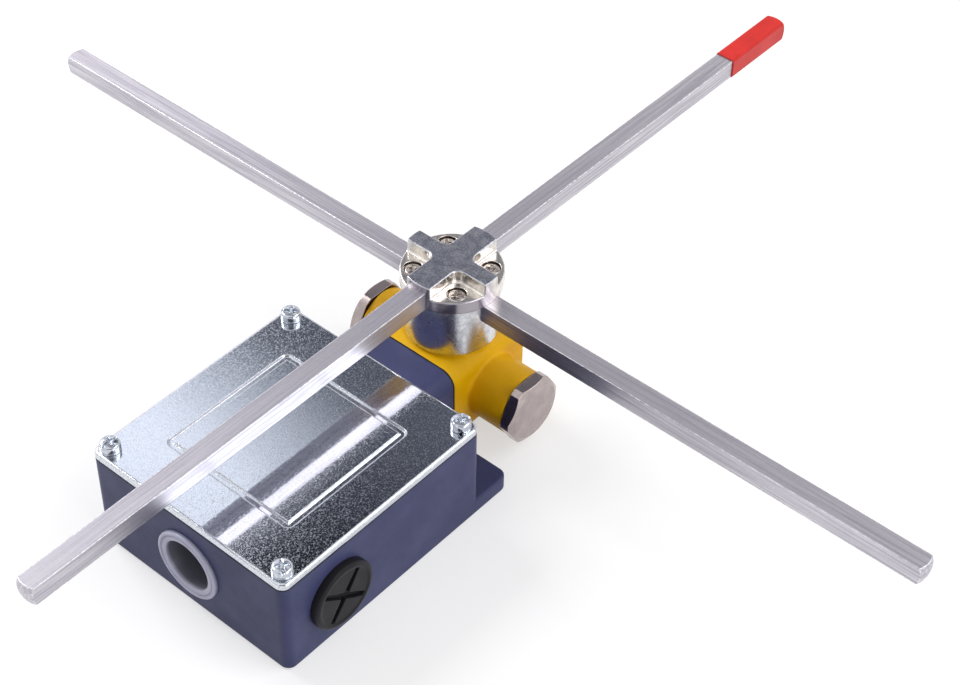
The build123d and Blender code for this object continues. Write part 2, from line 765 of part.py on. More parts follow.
def contact_block():
    """Moulded block with a channel for the carrier and two shelves for the fixed contacts."""
    block = slab(-block_half_width, block_half_width, block_y, block_end_y, block_bottom, block_shelf_top)
    channel_outside = channel_half_width + channel_wall
    block += slab(-channel_outside, channel_outside, block_y, block_end_y, block_bottom, block_top)
    block += slab(-lug_half_width, lug_half_width, block_y - lug_length, block_end_y + lug_length,
                  block_bottom, block_bottom + block_base)
    for y in lug_places():
        block -= post(m3_radius + fit, block_bottom, block_bottom + block_base, 0, y)
    block -= slab(-channel_half_width, channel_half_width, block_y + block_end_wall,
                  block_end_y - block_end_wall, block_bottom + block_base, block_top)
    block -= slab(-block_half_width, block_half_width, block_y + block_end_wall,
                  block_end_y - block_end_wall, block_shelf_top, block_top)
    block -= bar_y(tappet_guide_radius, block_end_y - block_end_wall, block_end_y, 0, cam_middle)
    for x, y in terminal_places():
        block -= post(terminal_radius + fit, block_bottom + block_base, block_shelf_top, x, y)
    return block


def lug_places():
    """Y stations of the contact block's two fixing screws."""
    return (block_y - lug_length / 2, block_end_y + lug_length / 2)


def contact_block_screws():
    """Two screws that fix the contact block to the housing floor."""
    length = block_base + block_bottom - block_screw_tip
    screw = pan_screw(m3_radius, block_screw_head_radius, m3_head_height, length)
    top = block_bottom + block_base
    return joined(Pos(0, y, top) * screw for y in lug_places())


def tab_stations():
    """Inner faces of the fixed contacts: one pair closes at each end of the travel."""
    reach = bridge_offset + bridge_thickness / 2 + 2 * contact_pad_height + contact_gap
    rear = carrier_mid_y + reach + stroke_out
    front = carrier_mid_y - reach - stroke_in
    return rear, front


def terminal_places():
    """Screw positions on the fixed contacts."""
    rear, front = tab_stations()
    middle = (strip_inner + strip_outer) / 2
    reach = strip_length - terminal_head_radius
    return [(side * middle, y) for side in (-1, 1) for y in (rear + reach, front - reach)]


def fixed_contacts():
    """Four brass strips, each with an upright tab and a round pad that meets a bridge."""
    rear, front = tab_stations()
    middle = (strip_inner + strip_outer) / 2
    top = block_shelf_top + strip_thickness
    tab_top = bridge_level + bridge_height / 2
    strips = []
    for side in (-1, 1):
        for station, away in ((rear, 1), (front, -1)):
            far = station + away * strip_length
            near_edge, far_edge = min(station, far), max(station, far)
            tab_far = station + away * strip_thickness
            x0, x1 = sorted((side * strip_inner, side * strip_outer))
            strip = slab(x0, x1, near_edge, far_edge, block_shelf_top, top)
            strip += slab(side * middle - tab_half_width, side * middle + tab_half_width,
                          min(station, tab_far), max(station, tab_far), block_shelf_top, tab_top)
            reach = strip_length - terminal_head_radius
            strip -= post(terminal_radius + fit, block_shelf_top, top, side * middle, station + away * reach)
            strip += bar_y(contact_pad_radius, station - away * contact_pad_height, station,
                           side * contact_pad_x, bridge_level)
            strips.append(strip)
    return joined(strips)


def terminal_screws():
    """Terminal screws on the fixed contacts."""
    screw = pan_screw(terminal_radius, terminal_head_radius, terminal_head_height, terminal_screw_length)
    top = block_shelf_top + strip_thickness
    return joined(Pos(x, y, top) * screw for x, y in terminal_places())


def contact_carrier():
    """Sliding block that carries the two contact bridges."""
    half = channel_half_width - running_gap
    low = block_bottom + block_base + running_gap
    carrier = slab(-half, half, carrier_y, carrier_y + carrier_length, low, carrier_top)
    carrier -= bar_y(return_spring_radius + return_wire_radius + fit, carrier_y,
                     carrier_y + return_pocket, 0, return_spring_z)
    for side in (-1, 1):
        y = carrier_mid_y + side * bridge_offset
        carrier -= slab(-half, half, y - bridge_thickness / 2, y + bridge_thickness / 2,
                        bridge_level - bridge_height / 2, bridge_level + bridge_height / 2)
    return carrier


def contact_bridges():
    """Two bridges through the carrier, each with a round pad near both ends."""
    bridges = []
    half_height = bridge_height / 2 - bridge_slot_gap
    for side in (-1, 1):
        y = carrier_mid_y + side * bridge_offset
        face = y + side * bridge_thickness / 2
        bridge = slab(-bridge_half_length, bridge_half_length, y - bridge_thickness / 2,
                      y + bridge_thickness / 2, bridge_level - half_height, bridge_level + half_height)
        for x in (-contact_pad_x, contact_pad_x):
            bridge += bar_y(contact_pad_radius, face, face + side * contact_pad_height, x, bridge_level)
        bridges.append(bridge)
    return joined(bridges)


def return_spring():
    """Spring between the contact block's end wall and the carrier's pocket."""
    start = block_y + block_end_wall
    length = carrier_y + return_pocket - start
    spring = coil(return_spring_radius, return_wire_radius, length, return_spring_turns)
    return Pos(0, start, return_spring_z) * Rot(-90, 0, 0) * spring


def earth_screw():
    """Earth terminal screw on its boss in the housing floor."""
    screw = pan_screw(m4_radius, m4_head_radius, m4_head_height, earth_screw_length)
    return Pos(earth_x, front_y + earth_from_front, earth_boss_top) * screw


def build_parts():
    """Every sub-part by its node name."""
    parts = {
        "housing_casting": housing_casting(),
        "cover_gasket": cover_gasket(),
        "cover_plate": cover_plate(),
        "cover_screw_washers": cover_screw_washers(),
        "cover_screws": cover_screws(),
        "entry_sleeve": entry_sleeve(),
        "blank_plug_right": blank_plug_on(1),
        "blank_plug_left": blank_plug_on(-1),
        "neck_gasket": neck_gasket(),
        "head_casting": head_casting(),
        "head_screws": head_screws(),
        "lower_bush": lower_bush(),
        "bearing_plug": bearing_plug(),
        "shaft_seal": shaft_seal(),
        "lever_shaft": lever_shaft(),
        "detent_block": detent_block(),
        "drive_pin": drive_pin(),
        "switching_cam": switching_cam(),
        "hub_base": hub_base(),
        "hub_cap": hub_cap(),
        "hub_screws": hub_screws(),
        "hub_fixing_screw": hub_fixing_screw(),
        "rod_lower": rod_lower(),
        "rod_upper": rod_upper(),
        "rod_sleeve": rod_sleeve(),
        "tappet": tappet(),
        "contact_carrier": contact_carrier(),
        "contact_bridges": contact_bridges(),
        "contact_block": contact_block(),
        "contact_block_screws": contact_block_screws(),
        "fixed_contacts": fixed_contacts(),
        "terminal_screws": terminal_screws(),
        "return_spring": return_spring(),
        "earth_screw": earth_screw(),
    }
    for name, side in (("right", 1), ("left", -1)):
        parts["detent_plunger_" + name] = on_barrel(detent_plunger(), side, plunger_face)
        parts["detent_spring_" + name] = on_barrel(detent_spring(), side, plunger_face)
        parts["cap_seal_" + name] = on_barrel(cap_seal(), side, barrel_half_length)
        parts["detent_cap_" + name] = on_barrel(detent_cap(), side, cap_face)
    return parts


os.makedirs("parts", exist_ok=True)
for node, shape in build_parts().items():
    export_step(shape, "parts/" + node + ".step")
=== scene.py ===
import math
import random

import bpy
from mathutils import Matrix, Vector


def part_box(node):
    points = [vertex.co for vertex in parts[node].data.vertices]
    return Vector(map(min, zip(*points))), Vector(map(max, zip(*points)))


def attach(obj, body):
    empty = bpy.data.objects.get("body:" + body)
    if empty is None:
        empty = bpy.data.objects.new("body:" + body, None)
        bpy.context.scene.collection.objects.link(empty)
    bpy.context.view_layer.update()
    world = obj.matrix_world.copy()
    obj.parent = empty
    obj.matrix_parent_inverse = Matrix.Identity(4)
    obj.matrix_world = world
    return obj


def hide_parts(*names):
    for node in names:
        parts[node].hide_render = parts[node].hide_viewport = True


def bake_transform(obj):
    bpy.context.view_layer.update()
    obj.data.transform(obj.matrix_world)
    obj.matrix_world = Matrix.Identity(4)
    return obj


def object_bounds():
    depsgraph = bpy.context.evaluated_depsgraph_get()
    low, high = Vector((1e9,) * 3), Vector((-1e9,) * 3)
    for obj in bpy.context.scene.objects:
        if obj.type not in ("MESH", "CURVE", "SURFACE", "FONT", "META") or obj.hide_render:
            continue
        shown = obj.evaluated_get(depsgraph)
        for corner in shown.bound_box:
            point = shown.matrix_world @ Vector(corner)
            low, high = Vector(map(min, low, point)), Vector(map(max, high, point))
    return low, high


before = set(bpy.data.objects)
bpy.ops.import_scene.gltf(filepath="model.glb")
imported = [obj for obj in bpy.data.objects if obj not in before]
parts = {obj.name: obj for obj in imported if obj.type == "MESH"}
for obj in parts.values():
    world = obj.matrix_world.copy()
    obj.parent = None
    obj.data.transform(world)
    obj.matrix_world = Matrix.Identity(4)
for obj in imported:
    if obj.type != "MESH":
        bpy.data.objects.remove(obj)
cad_low, cad_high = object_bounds()

# Housing casting: a pressure die-cast aluminium box with an ear and a neck, powder coated in slate violet.
# The coat is satin, slightly orange-peeled, and thinner along the sharp edges. Its cable entries are bored
# after casting and it is bolted down through four holes.
HOUSING_LIGHT = (0.060, 0.066, 0.160)
HOUSING_DARK = (0.047, 0.052, 0.130)
HOUSING_WORN = (0.16, 0.17, 0.28)
HOUSING_WEAR = 0.4
HOUSING_ROUGHNESS = 0.42
HOUSING_PEEL = 1000.0
COAT_SPECULAR = 0.22
COAT_CLOUD = 70.0
COAT_EDGE = 0.0006
COAT_EDGE_BREAKUP = 900.0
COAT_RELIEF = 0.00004
COAT_ROUNDING = 0.0007
SATIN_SPAN = 1.15
CLOUD_RANGE = (0.35, 0.65)
BEVEL_SAMPLES = 8
EDGE_STARTS = 0.995
EDGE_IS_FULL = 0.86


def shader_group(name, inputs, outputs):
    """An empty node group with named sockets, and its input and output nodes."""
    group = bpy.data.node_groups.new(name, "ShaderNodeTree")
    kinds = {"value": "NodeSocketFloat", "vector": "NodeSocketVector"}
    for way, sockets in (("INPUT", inputs), ("OUTPUT", outputs)):
        for label, kind in sockets:
            group.interface.new_socket(name=label, in_out=way, socket_type=kinds[kind])
    return group, group.nodes.new("NodeGroupInput"), group.nodes.new("NodeGroupOutput")


def feed(tree, socket, value):
    """Set an input socket to a number, a tuple or another node's output."""
    if isinstance(value, bpy.types.NodeSocket):
        tree.links.new(value, socket)
    elif isinstance(value, tuple) and socket.type == "RGBA":
        socket.default_value = (*value, 1.0)
    else:
        socket.default_value = value


def noise(tree, place, scale, detail, roughness):
    """Noise with its scale in patches per metre."""
    node = tree.nodes.new("ShaderNodeTexNoise")
    for label, value in (("Vector", place), ("Scale", scale), ("Detail", detail), ("Roughness", roughness)):
        feed(tree, node.inputs[label], value)
    return node.outputs["Fac"]


def spread(tree, value, low, high, to_low=0.0, to_high=1.0):
    """Map a range of values to another, clamped."""
    node = tree.nodes.new("ShaderNodeMapRange")
    labels = ("Value", "From Min", "From Max", "To Min", "To Max")
    for label, number in zip(labels, (value, low, high, to_low, to_high)):
        feed(tree, node.inputs[label], number)
    return node.outputs["Result"]


def sums(tree, operation, first, second=0.0):
    """Math node on sockets or numbers."""
    node = tree.nodes.new("ShaderNodeMath")
    node.operation = operation
    feed(tree, node.inputs[0], first)
    feed(tree, node.inputs[1], second)
    return node.outputs[0]


def blend_colours(tree, share, first, second):
    """Mix of two colours."""
    node = tree.nodes.new("ShaderNodeMix")
    node.data_type = "RGBA"
    feed(tree, node.inputs["Factor"], share)
    coloured = [socket for socket in node.inputs if socket.type == "RGBA"]
    feed(tree, coloured[0], first)
    feed(tree, coloured[1], second)
    return [socket for socket in node.outputs if socket.type == "RGBA"][0]


def place_group(tree, group, **values):
    """Put a node group in a material, with its own values for the named inputs."""
    node = tree.nodes.new("ShaderNodeGroup")
    node.node_tree = group
    for label, value in values.items():
        feed(tree, node.inputs[label.replace("_", " ")], value)
    return node.outputs


def surface(name, metallic=0.0, specular=0.5):
    """A material with its tree, its shader and its object coordinates."""
    material = bpy.data.materials.new(name)
    material.use_nodes = True
    tree = material.node_tree
    shader = tree.nodes["Principled BSDF"]
    shader.inputs["Metallic"].default_value = metallic
    shader.inputs["Specular IOR Level"].default_value = specular
    return material, tree, shader, tree.nodes.new("ShaderNodeTexCoord").outputs["Object"]


def relief(tree, shader, height, distance, rounding):
    """Fine relief in metres, and shading that is soft over a radius where two faces meet."""
    bevel = tree.nodes.new("ShaderNodeBevel")
    bevel.samples = BEVEL_SAMPLES
    bevel.inputs["Radius"].default_value = rounding
    bump = tree.nodes.new("ShaderNodeBump")
    bump.inputs["Strength"].default_value = 1.0
    bump.inputs["Distance"].default_value = distance
    feed(tree, bump.inputs["Height"], height)
    feed(tree, bump.inputs["Normal"], bevel.outputs["Normal"])
    feed(tree, shader.inputs["Normal"], bump.outputs["Normal"])


def make_casting_skin():
    """Orange peel and slow cloudiness of a coat or a cast face."""
    group, start, end = shader_group(
        "casting_skin",
        [("Place", "vector"), ("Peel size", "value"), ("Cloud size", "value")],
        [("Height", "value"), ("Cloud", "value")],
    )
    given = start.outputs
    feed(group, end.inputs["Height"], noise(group, given["Place"], given["Peel size"], 2.0, 0.55))
    cloud = noise(group, given["Place"], given["Cloud size"], 3.0, 0.6)
    feed(group, end.inputs["Cloud"], spread(group, cloud, *CLOUD_RANGE))
    return group


def make_edge_wear():
    """Mask of convex edges, broken up by noise."""
    group, start, end = shader_group(
        "edge_wear",
        [("Place", "vector"), ("Width", "value"), ("Breakup size", "value")],
        [("Mask", "value")],
    )
    given = start.outputs
    bevel = group.nodes.new("ShaderNodeBevel")
    bevel.samples = BEVEL_SAMPLES
    feed(group, bevel.inputs["Radius"], given["Width"])
    turn = group.nodes.new("ShaderNodeVectorMath")
    turn.operation = "DOT_PRODUCT"
    feed(group, turn.inputs[0], bevel.outputs["Normal"])
    feed(group, turn.inputs[1], group.nodes.new("ShaderNodeNewGeometry").outputs["Normal"])
    edge = spread(group, turn.outputs["Value"], EDGE_STARTS, EDGE_IS_FULL)
    patches = spread(group, noise(group, given["Place"], given["Breakup size"], 4.0, 0.6), 0.4, 0.6)
    feed(group, end.inputs["Mask"], sums(group, "MULTIPLY", edge, patches))
    return group


casting_skin = make_casting_skin()
edge_wear = make_edge_wear()


def painted_casting(name, light, dark, worn, wear, roughness, peel):
    """Satin powder coat on a die casting."""
    material, tree, shader, place = surface(name, specular=COAT_SPECULAR)
    skin = place_group(tree, casting_skin, Place=place, Peel_size=peel, Cloud_size=COAT_CLOUD)
    edges = place_group(tree, edge_wear, Place=place, Width=COAT_EDGE, Breakup_size=COAT_EDGE_BREAKUP)
    colour = blend_colours(tree, skin["Cloud"], dark, light)
    colour = blend_colours(tree, sums(tree, "MULTIPLY", edges["Mask"], wear), colour, worn)
    feed(tree, shader.inputs["Base Color"], colour)
    dull = roughness * SATIN_SPAN
    feed(tree, shader.inputs["Roughness"], spread(tree, skin["Cloud"], 0.0, 1.0, dull, roughness))
    relief(tree, shader, skin["Height"], COAT_RELIEF, COAT_ROUNDING)
    return material


def wear_finish(material, *nodes):
    """Give carried-over parts their finish."""
    for node in nodes:
        parts[node].data.materials.clear()
        parts[node].data.materials.append(material)


wear_finish(painted_casting("housing_coat", HOUSING_LIGHT, HOUSING_DARK, HOUSING_WORN, HOUSING_WEAR,
                            HOUSING_ROUGHNESS, HOUSING_PEEL), "housing_casting")

# Entry sleeve: a milky plastic bush pressed into the front cable entry, with a rounded flange.
# It is turned from its section here. Deeper in the bore its colour is painted darker, as painted shade.
MM = 0.001
SLEEVE_SECTION = [(8.4, -12.0), (8.4, 0.75), (8.5, 0.98), (8.75, 1.12), (9.9, 1.12), (10.02, 0.9),
                  (10.2, 0.82), (10.38, 0.9), (10.5, 1.3), (11.0, 1.3), (11.28, 1.22), (11.45, 1.02),
                  (11.5, 0.75), (11.5, 0.0), (10.15, 0.0), (10.15, -12.0)]
SLEEVE_STEPS = 96
SLEEVE_FLANGE = 1.3
SLEEVE_LIGHT = (0.58, 0.58, 0.75)
# Painted shade: the colour the bore darkens to with depth.
SLEEVE_BORE_SHADE = (0.17, 0.17, 0.215)
SLEEVE_CLOUDED = 0.9
SLEEVE_SHADE_DEPTH = (0.0003, 0.0016)
SLEEVE_ROUGHNESS = (0.36, 0.28)


def turned_ring(section, steps):
    """Vertices and faces of a closed section (radius, height in mm) turned about Z."""
    count = len(section)
    vertices = [(r * MM * math.cos(math.tau * i / steps), r * MM * math.sin(math.tau * i / steps), z * MM)
                for i in range(steps) for r, z in section]
    faces = []
    for i in range(steps):
        here, there = i * count, (i + 1) % steps * count
        for k in range(count):
            after = (k + 1) % count
            faces.append((here + k, here + after, there + after, there + k))
    return vertices, faces


def own_object(name, shape, material, sharp):
    """An object with its own mesh, smooth but for edges that turn by more than an angle in degrees."""
    vertices, faces = shape
    mesh = bpy.data.meshes.new(name)
    mesh.from_pydata(vertices, [], faces)
    mesh.validate()
    mesh.shade_smooth()
    mesh.set_sharp_from_angle(angle=math.radians(sharp))
    mesh.materials.append(material)
    piece = bpy.data.objects.new(name, mesh)
    bpy.context.scene.collection.objects.link(piece)
    return piece


def new_piece(name, shape, material, body, node, sharp):
    """A piece of its own mesh that stands for a CAD node and rides on its body."""
    piece = own_object(name, shape, material, sharp)
    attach(piece, body)
    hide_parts(node)


def axes_of(tree, place):
    """The X, Y and Z of a place."""
    node = tree.nodes.new("ShaderNodeSeparateXYZ")
    feed(tree, node.inputs[0], place)
    return node.outputs


def milky_plastic(mouth_y):
    """Natural plastic with painted shade that darkens its tone down the bore."""
    material, tree, shader, place = surface("milky_plastic")
    skin = place_group(tree, casting_skin, Place=place, Peel_size=1300.0, Cloud_size=160.0)
    lit, unlit = SLEEVE_SHADE_DEPTH
    # Painted shade down the bore, from its mouth inwards.
    depth = spread(tree, axes_of(tree, place)["Y"], mouth_y + lit, mouth_y + unlit)
    clouded = tuple(SLEEVE_CLOUDED * tone for tone in SLEEVE_LIGHT)
    light = blend_colours(tree, skin["Cloud"], clouded, SLEEVE_LIGHT)
    feed(tree, shader.inputs["Base Color"], blend_colours(tree, depth, light, SLEEVE_BORE_SHADE))
    feed(tree, shader.inputs["Roughness"], spread(tree, skin["Cloud"], 0.0, 1.0, *SLEEVE_ROUGHNESS))
    relief(tree, shader, skin["Height"], distance=0.00001, rounding=0.0003)
    return material


def turned_sleeve():
    """The sleeve's ring, laid along Y in the front entry."""
    low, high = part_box("entry_sleeve")
    middle_x, middle_z = (low[0] + high[0]) / 2, (low[2] + high[2]) / 2
    vertices, faces = turned_ring(SLEEVE_SECTION, SLEEVE_STEPS)
    seat = low[1] + SLEEVE_FLANGE * MM
    return [(middle_x + x, seat - z, middle_z + y) for x, y, z in vertices], faces


new_piece("entry_sleeve_turned", turned_sleeve(), milky_plastic(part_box("entry_sleeve")[0][1]), "housing",
          "entry_sleeve", sharp=35.0)

# Blanking plugs: black nylon, moulded with two crossed screwdriver slots and screwed into the side entries.
# The face is finely spark-eroded and a little greyer where it has been rubbed.
PLUG_LIGHT = (0.012, 0.011, 0.015)
PLUG_DARK = (0.007, 0.0065, 0.009)
PLUG_RUBBED = (0.045, 0.040, 0.042)
PLUG_RADIUS = 11.25
PLUG_HEIGHT = 2.7
PLUG_SHANK = (9.9, 7.5)
PLUG_SLOT_REACH = 9.1
PLUG_SLOT_WIDTH = (1.5, 2.3)
PLUG_SLOT_DEPTH = 1.5
PLUG_SLOT_SIDE = 0.14
PLUG_SLOT_END = 0.2
PLUG_RIM = 1.3
PLUG_RIM_DROP = 0.75
PLUG_DISH = 0.22
PLUG_DISH_INSET = 1.4
PLUG_DISH_SLOPE = 0.9
PLUG_TURN = 53.6
PLUG_RINGS = 80
PLUG_STEPS = 288
PLASTIC_CLOUD = 120.0
PLASTIC_EDGE = 0.0005
PLASTIC_EDGE_BREAKUP = 1200.0
PLASTIC_WEAR = 0.6
PLASTIC_RELIEF = 0.000012
PLASTIC_ROUNDING = 0.0004


def moulding(name, light, dark, rubbed, roughness, peel=1600.0, specular=0.25):
    """Moulded plastic, rubbed lighter along its edges."""
    material, tree, shader, place = surface(name, specular=specular)
    skin = place_group(tree, casting_skin, Place=place, Peel_size=peel, Cloud_size=PLASTIC_CLOUD)
    edges = place_group(tree, edge_wear, Place=place, Width=PLASTIC_EDGE, Breakup_size=PLASTIC_EDGE_BREAKUP)
    colour = blend_colours(tree, skin["Cloud"], dark, light)
    colour = blend_colours(tree, sums(tree, "MULTIPLY", edges["Mask"], PLASTIC_WEAR), colour, rubbed)
    feed(tree, shader.inputs["Base Color"], colour)
    dull = roughness * SATIN_SPAN
    feed(tree, shader.inputs["Roughness"], spread(tree, skin["Cloud"], 0.0, 1.0, dull, roughness))
    relief(tree, shader, skin["Height"], PLASTIC_RELIEF, PLASTIC_ROUNDING)
    return material


def eased(value):
    """Smooth step from 0 to 1."""
    value = min(max(value, 0.0), 1.0)
    return value * value * (3 - 2 * value)


def plug_top(x, y):
    """Height of the plug's face over a point in mm: a rounded rim, a shallow dish and two crossed slots."""
    r = math.hypot(x, y)
    round_part = max(r - (PLUG_RADIUS - PLUG_RIM), 0.0) / PLUG_RIM
    top = PLUG_HEIGHT - PLUG_RIM_DROP * (1 - math.sqrt(max(1 - round_part ** 2, 0.0)))
    top -= PLUG_DISH * eased((PLUG_RADIUS - PLUG_DISH_INSET - r) / PLUG_DISH_SLOPE)
    narrow, wide = PLUG_SLOT_WIDTH
    sunk = 0.0
    for along, across in ((abs(x), abs(y)), (abs(y), abs(x))):
        half = (wide - (wide - narrow) * along / PLUG_SLOT_REACH) / 2
        inside = eased((half - across) / PLUG_SLOT_SIDE + 0.5) * eased((PLUG_SLOT_REACH - along) / PLUG_SLOT_END)
        sunk = max(sunk, inside * PLUG_SLOT_DEPTH)
    return top - sunk


def turned_solid(rings, steps, face_height):
    """Vertices and faces in mm of rings (radius, height) about Z, whose face, above z = 0, is sunk in places."""
    def height(x, y, z):
        return face_height(x, y, z) if z > 0 else z

    vertices = [(0.0, 0.0, height(0.0, 0.0, rings[0][1]))]
    for r, z in rings:
        for step in range(steps):
            x, y = r * math.cos(math.tau * step / steps), r * math.sin(math.tau * step / steps)
            vertices.append((x, y, height(x, y, z)))
    vertices.append((0.0, 0.0, rings[-1][1]))
    faces = [(0, 1 + step, 1 + (step + 1) % steps) for step in range(steps)]
    for ring in range(len(rings) - 1):
        inner, outer = 1 + ring * steps, 1 + (ring + 1) * steps
        for step in range(steps):
            after = (step + 1) % steps
            faces.append((inner + step, outer + step, outer + after, inner + after))
    last, centre = 1 + (len(rings) - 1) * steps, len(vertices) - 1
    faces += [(last + (step + 1) % steps, last + step, centre) for step in range(steps)]
    return vertices, faces


def moulded_plug():
    """The plug along Z in mm, with the seat of its head at z = 0."""
    shank, length = PLUG_SHANK
    rings = [(PLUG_RADIUS * (ring / PLUG_RINGS), PLUG_HEIGHT) for ring in range(1, PLUG_RINGS + 1)]
    rings += [(PLUG_RADIUS, 0.0), (shank, 0.0), (shank, -length)]
    return turned_solid(rings, PLUG_STEPS, lambda x, y, z: plug_top(x, y))


def placed(shape, seat, turn):
    """A shape in mm, turned and brought to a seat in metres."""
    vertices, faces = shape
    return [tuple(Vector(seat) + turn @ (Vector(point) * MM)) for point in vertices], faces


plug_nylon = moulding("plug_nylon", PLUG_LIGHT, PLUG_DARK, PLUG_RUBBED, roughness=0.42, specular=0.18)
for plug, side in (("blank_plug_right", 1), ("blank_plug_left", -1)):
    plug_low, plug_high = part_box(plug)
    plug_face = plug_high[0] if side > 0 else plug_low[0]
    plug_seat = (plug_face - side * PLUG_HEIGHT * MM, (plug_low[1] + plug_high[1]) / 2,
                 (plug_low[2] + plug_high[2]) / 2)
    turn = Matrix.Rotation(math.radians(90 * side), 3, "Y") @ Matrix.Rotation(math.radians(PLUG_TURN), 3, "Z")
    new_piece(plug + "_moulded", placed(moulded_plug(), plug_seat, turn), plug_nylon, "housing",
              plug, sharp=30.0)

# Contact block: a dark insulating moulding that two zinc-plated screws hold to the housing's floor.
# It carries four stamped brass contacts, each under its own terminal screw. The brass earth screw stands on
# a boss of its own.
BLOCK_LIGHT = (0.045, 0.045, 0.05)
BLOCK_DARK = (0.03, 0.03, 0.034)
BLOCK_RUBBED = (0.10, 0.10, 0.11)
BRASS_LIGHT = (0.80, 0.62, 0.30)
BRASS_DARK = (0.66, 0.48, 0.20)
PLATED_LIGHT = (0.66, 0.70, 0.76)
PLATED_DARK = (0.44, 0.47, 0.53)
METAL_SPAN = 1.4
METAL_PEEL = 4


def worked_metal(name, light, dark, roughness, mottle=400.0, distance=0.000006, rounding=0.0004):
    """Bare or plated metal with slow changes of tone and gloss."""
    material, tree, shader, place = surface(name, metallic=1.0)
    skin = place_group(tree, casting_skin, Place=place, Peel_size=mottle * METAL_PEEL, Cloud_size=mottle)
    feed(tree, shader.inputs["Base Color"], blend_colours(tree, skin["Cloud"], dark, light))
    dull = roughness * METAL_SPAN
    feed(tree, shader.inputs["Roughness"], spread(tree, skin["Cloud"], 0.0, 1.0, dull, roughness))
    relief(tree, shader, skin["Height"], distance, rounding)
    return material


brass = worked_metal("brass", BRASS_LIGHT, BRASS_DARK, roughness=0.26)
screw_zinc = worked_metal("screw_zinc", PLATED_LIGHT, PLATED_DARK, roughness=0.10, mottle=900.0,
                          distance=0.000008, rounding=0.0002)
wear_finish(moulding("block_moulding", BLOCK_LIGHT, BLOCK_DARK, BLOCK_RUBBED, roughness=0.5), "contact_block")
wear_finish(brass, "fixed_contacts", "earth_screw")
wear_finish(screw_zinc, "contact_block_screws", "terminal_screws")

# Contact carrier: a pale moulding that slides in the block and holds two brass bridges.
# The bridges open one pair of contacts and close the other when the tappet pushes the carrier.
CARRIER_LIGHT = (0.72, 0.71, 0.66)
CARRIER_DARK = (0.63, 0.62, 0.57)
CARRIER_RUBBED = (0.80, 0.79, 0.75)
wear_finish(moulding("carrier_moulding", CARRIER_LIGHT, CARRIER_DARK, CARRIER_RUBBED, roughness=0.45),
            "contact_carrier")
wear_finish(brass, "contact_bridges")

# Shaft and what it moves: steel, turned and ground. The hardened square, its pin and the cam turn with the
# shaft, the tappet rides on the cam, and the two plungers press on the square. They keep a faint mottle.
STEEL_LIGHT = (0.60, 0.60, 0.61)
STEEL_DARK = (0.48, 0.48, 0.50)
ground_steel = worked_metal("ground_steel", STEEL_LIGHT, STEEL_DARK, roughness=0.26)
wear_finish(ground_steel, "lever_shaft", "detent_block", "drive_pin", "switching_cam", "tappet",
            "detent_plunger_right", "detent_plunger_left")

# Bearings: turned bronze, with the same finish as the brass. The flanged bush is pressed into the head's
# floor, and the plug above, with two key holes and a pocket for the shaft's seal, is screwed in.
wear_finish(brass, "lower_bush", "bearing_plug")

# Springs: hard-drawn steel wire, wound into open coils. One pushes the contact carrier back, and one behind
# each plunger presses it against the square.
SPRING_STEPS = 26
SPRING_SECTION = 10
RETURN_SPRING = {"radius": 3.0, "wire": 0.4, "turns": 4}
DETENT_SPRING = {"radius": 3.4, "wire": 0.45, "turns": 6}


def swept(sections):
    """Vertices and faces of a solid through a row of cross-sections, closed at both ends."""
    count = len(sections[0])
    vertices = [point for section in sections for point in section]
    last = len(vertices) - count
    faces = [tuple(range(count)), tuple(last + k for k in reversed(range(count)))]
    for first in range(0, last, count):
        for k in range(count):
            after = (k + 1) % count
            faces.append((first + k, first + count + k, first + count + after, first + after))
    return vertices, faces


def wound_wire(length, radius, wire, turns):
    """An open coil in mm along Z, from z = 0."""
    count = SPRING_STEPS * turns
    rise = (length - 2 * wire) / count
    slope = math.atan2(rise, math.tau * radius / SPRING_STEPS)
    sections = []
    for step in range(count + 1):
        turn = math.tau * step / SPRING_STEPS
        section = []
        for corner in range(SPRING_SECTION):
            angle = math.tau * corner / SPRING_SECTION
            out = radius + wire * math.cos(angle)
            side = wire * math.sin(angle) * math.sin(slope)
            section.append((out * math.cos(turn) + side * math.sin(turn),
                            out * math.sin(turn) - side * math.cos(turn),
                            wire + rise * step + wire * math.sin(angle) * math.cos(slope)))
        sections.append(section)
    return swept(sections)


def spring_between(node, axis, size):
    """The coil of a spring node along X (axis 0) or Y (axis 1), which pushes a body towards + or -."""
    low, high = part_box(node)
    start = (Vector(low) + Vector(high)) / 2
    end = start.copy()
    start[axis], end[axis] = low[axis], high[axis]
    turn = Matrix.Rotation(math.radians(90), 3, "Y") if axis == 0 else Matrix.Rotation(math.radians(-90), 3, "X")
    coil = placed(wound_wire((high[axis] - low[axis]) / MM, **size), start, turn)
    spring = own_object(node + "_wound", coil, ground_steel, sharp=40.0)
    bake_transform(spring)
    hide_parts(node)


spring_between("return_spring", axis=1, size=RETURN_SPRING)
spring_between("detent_spring_right", axis=0, size=DETENT_SPRING)
spring_between("detent_spring_left", axis=0, size=DETENT_SPRING)

# Seals: black rubber sheet, die cut, under the cover, between neck and head and under the caps, and the
# lip ring round the shaft. They are matte, with a faint bloom.
RUBBER_LIGHT = (0.022, 0.022, 0.025)
RUBBER_DARK = (0.010, 0.010, 0.012)
RUBBER_RUBBED = (0.035, 0.035, 0.038)
wear_finish(moulding("seal_rubber", RUBBER_LIGHT, RUBBER_DARK, RUBBER_RUBBED, roughness=0.7),
            "cover_gasket", "neck_gasket", "cap_seal_right", "cap_seal_left", "shaft_seal")

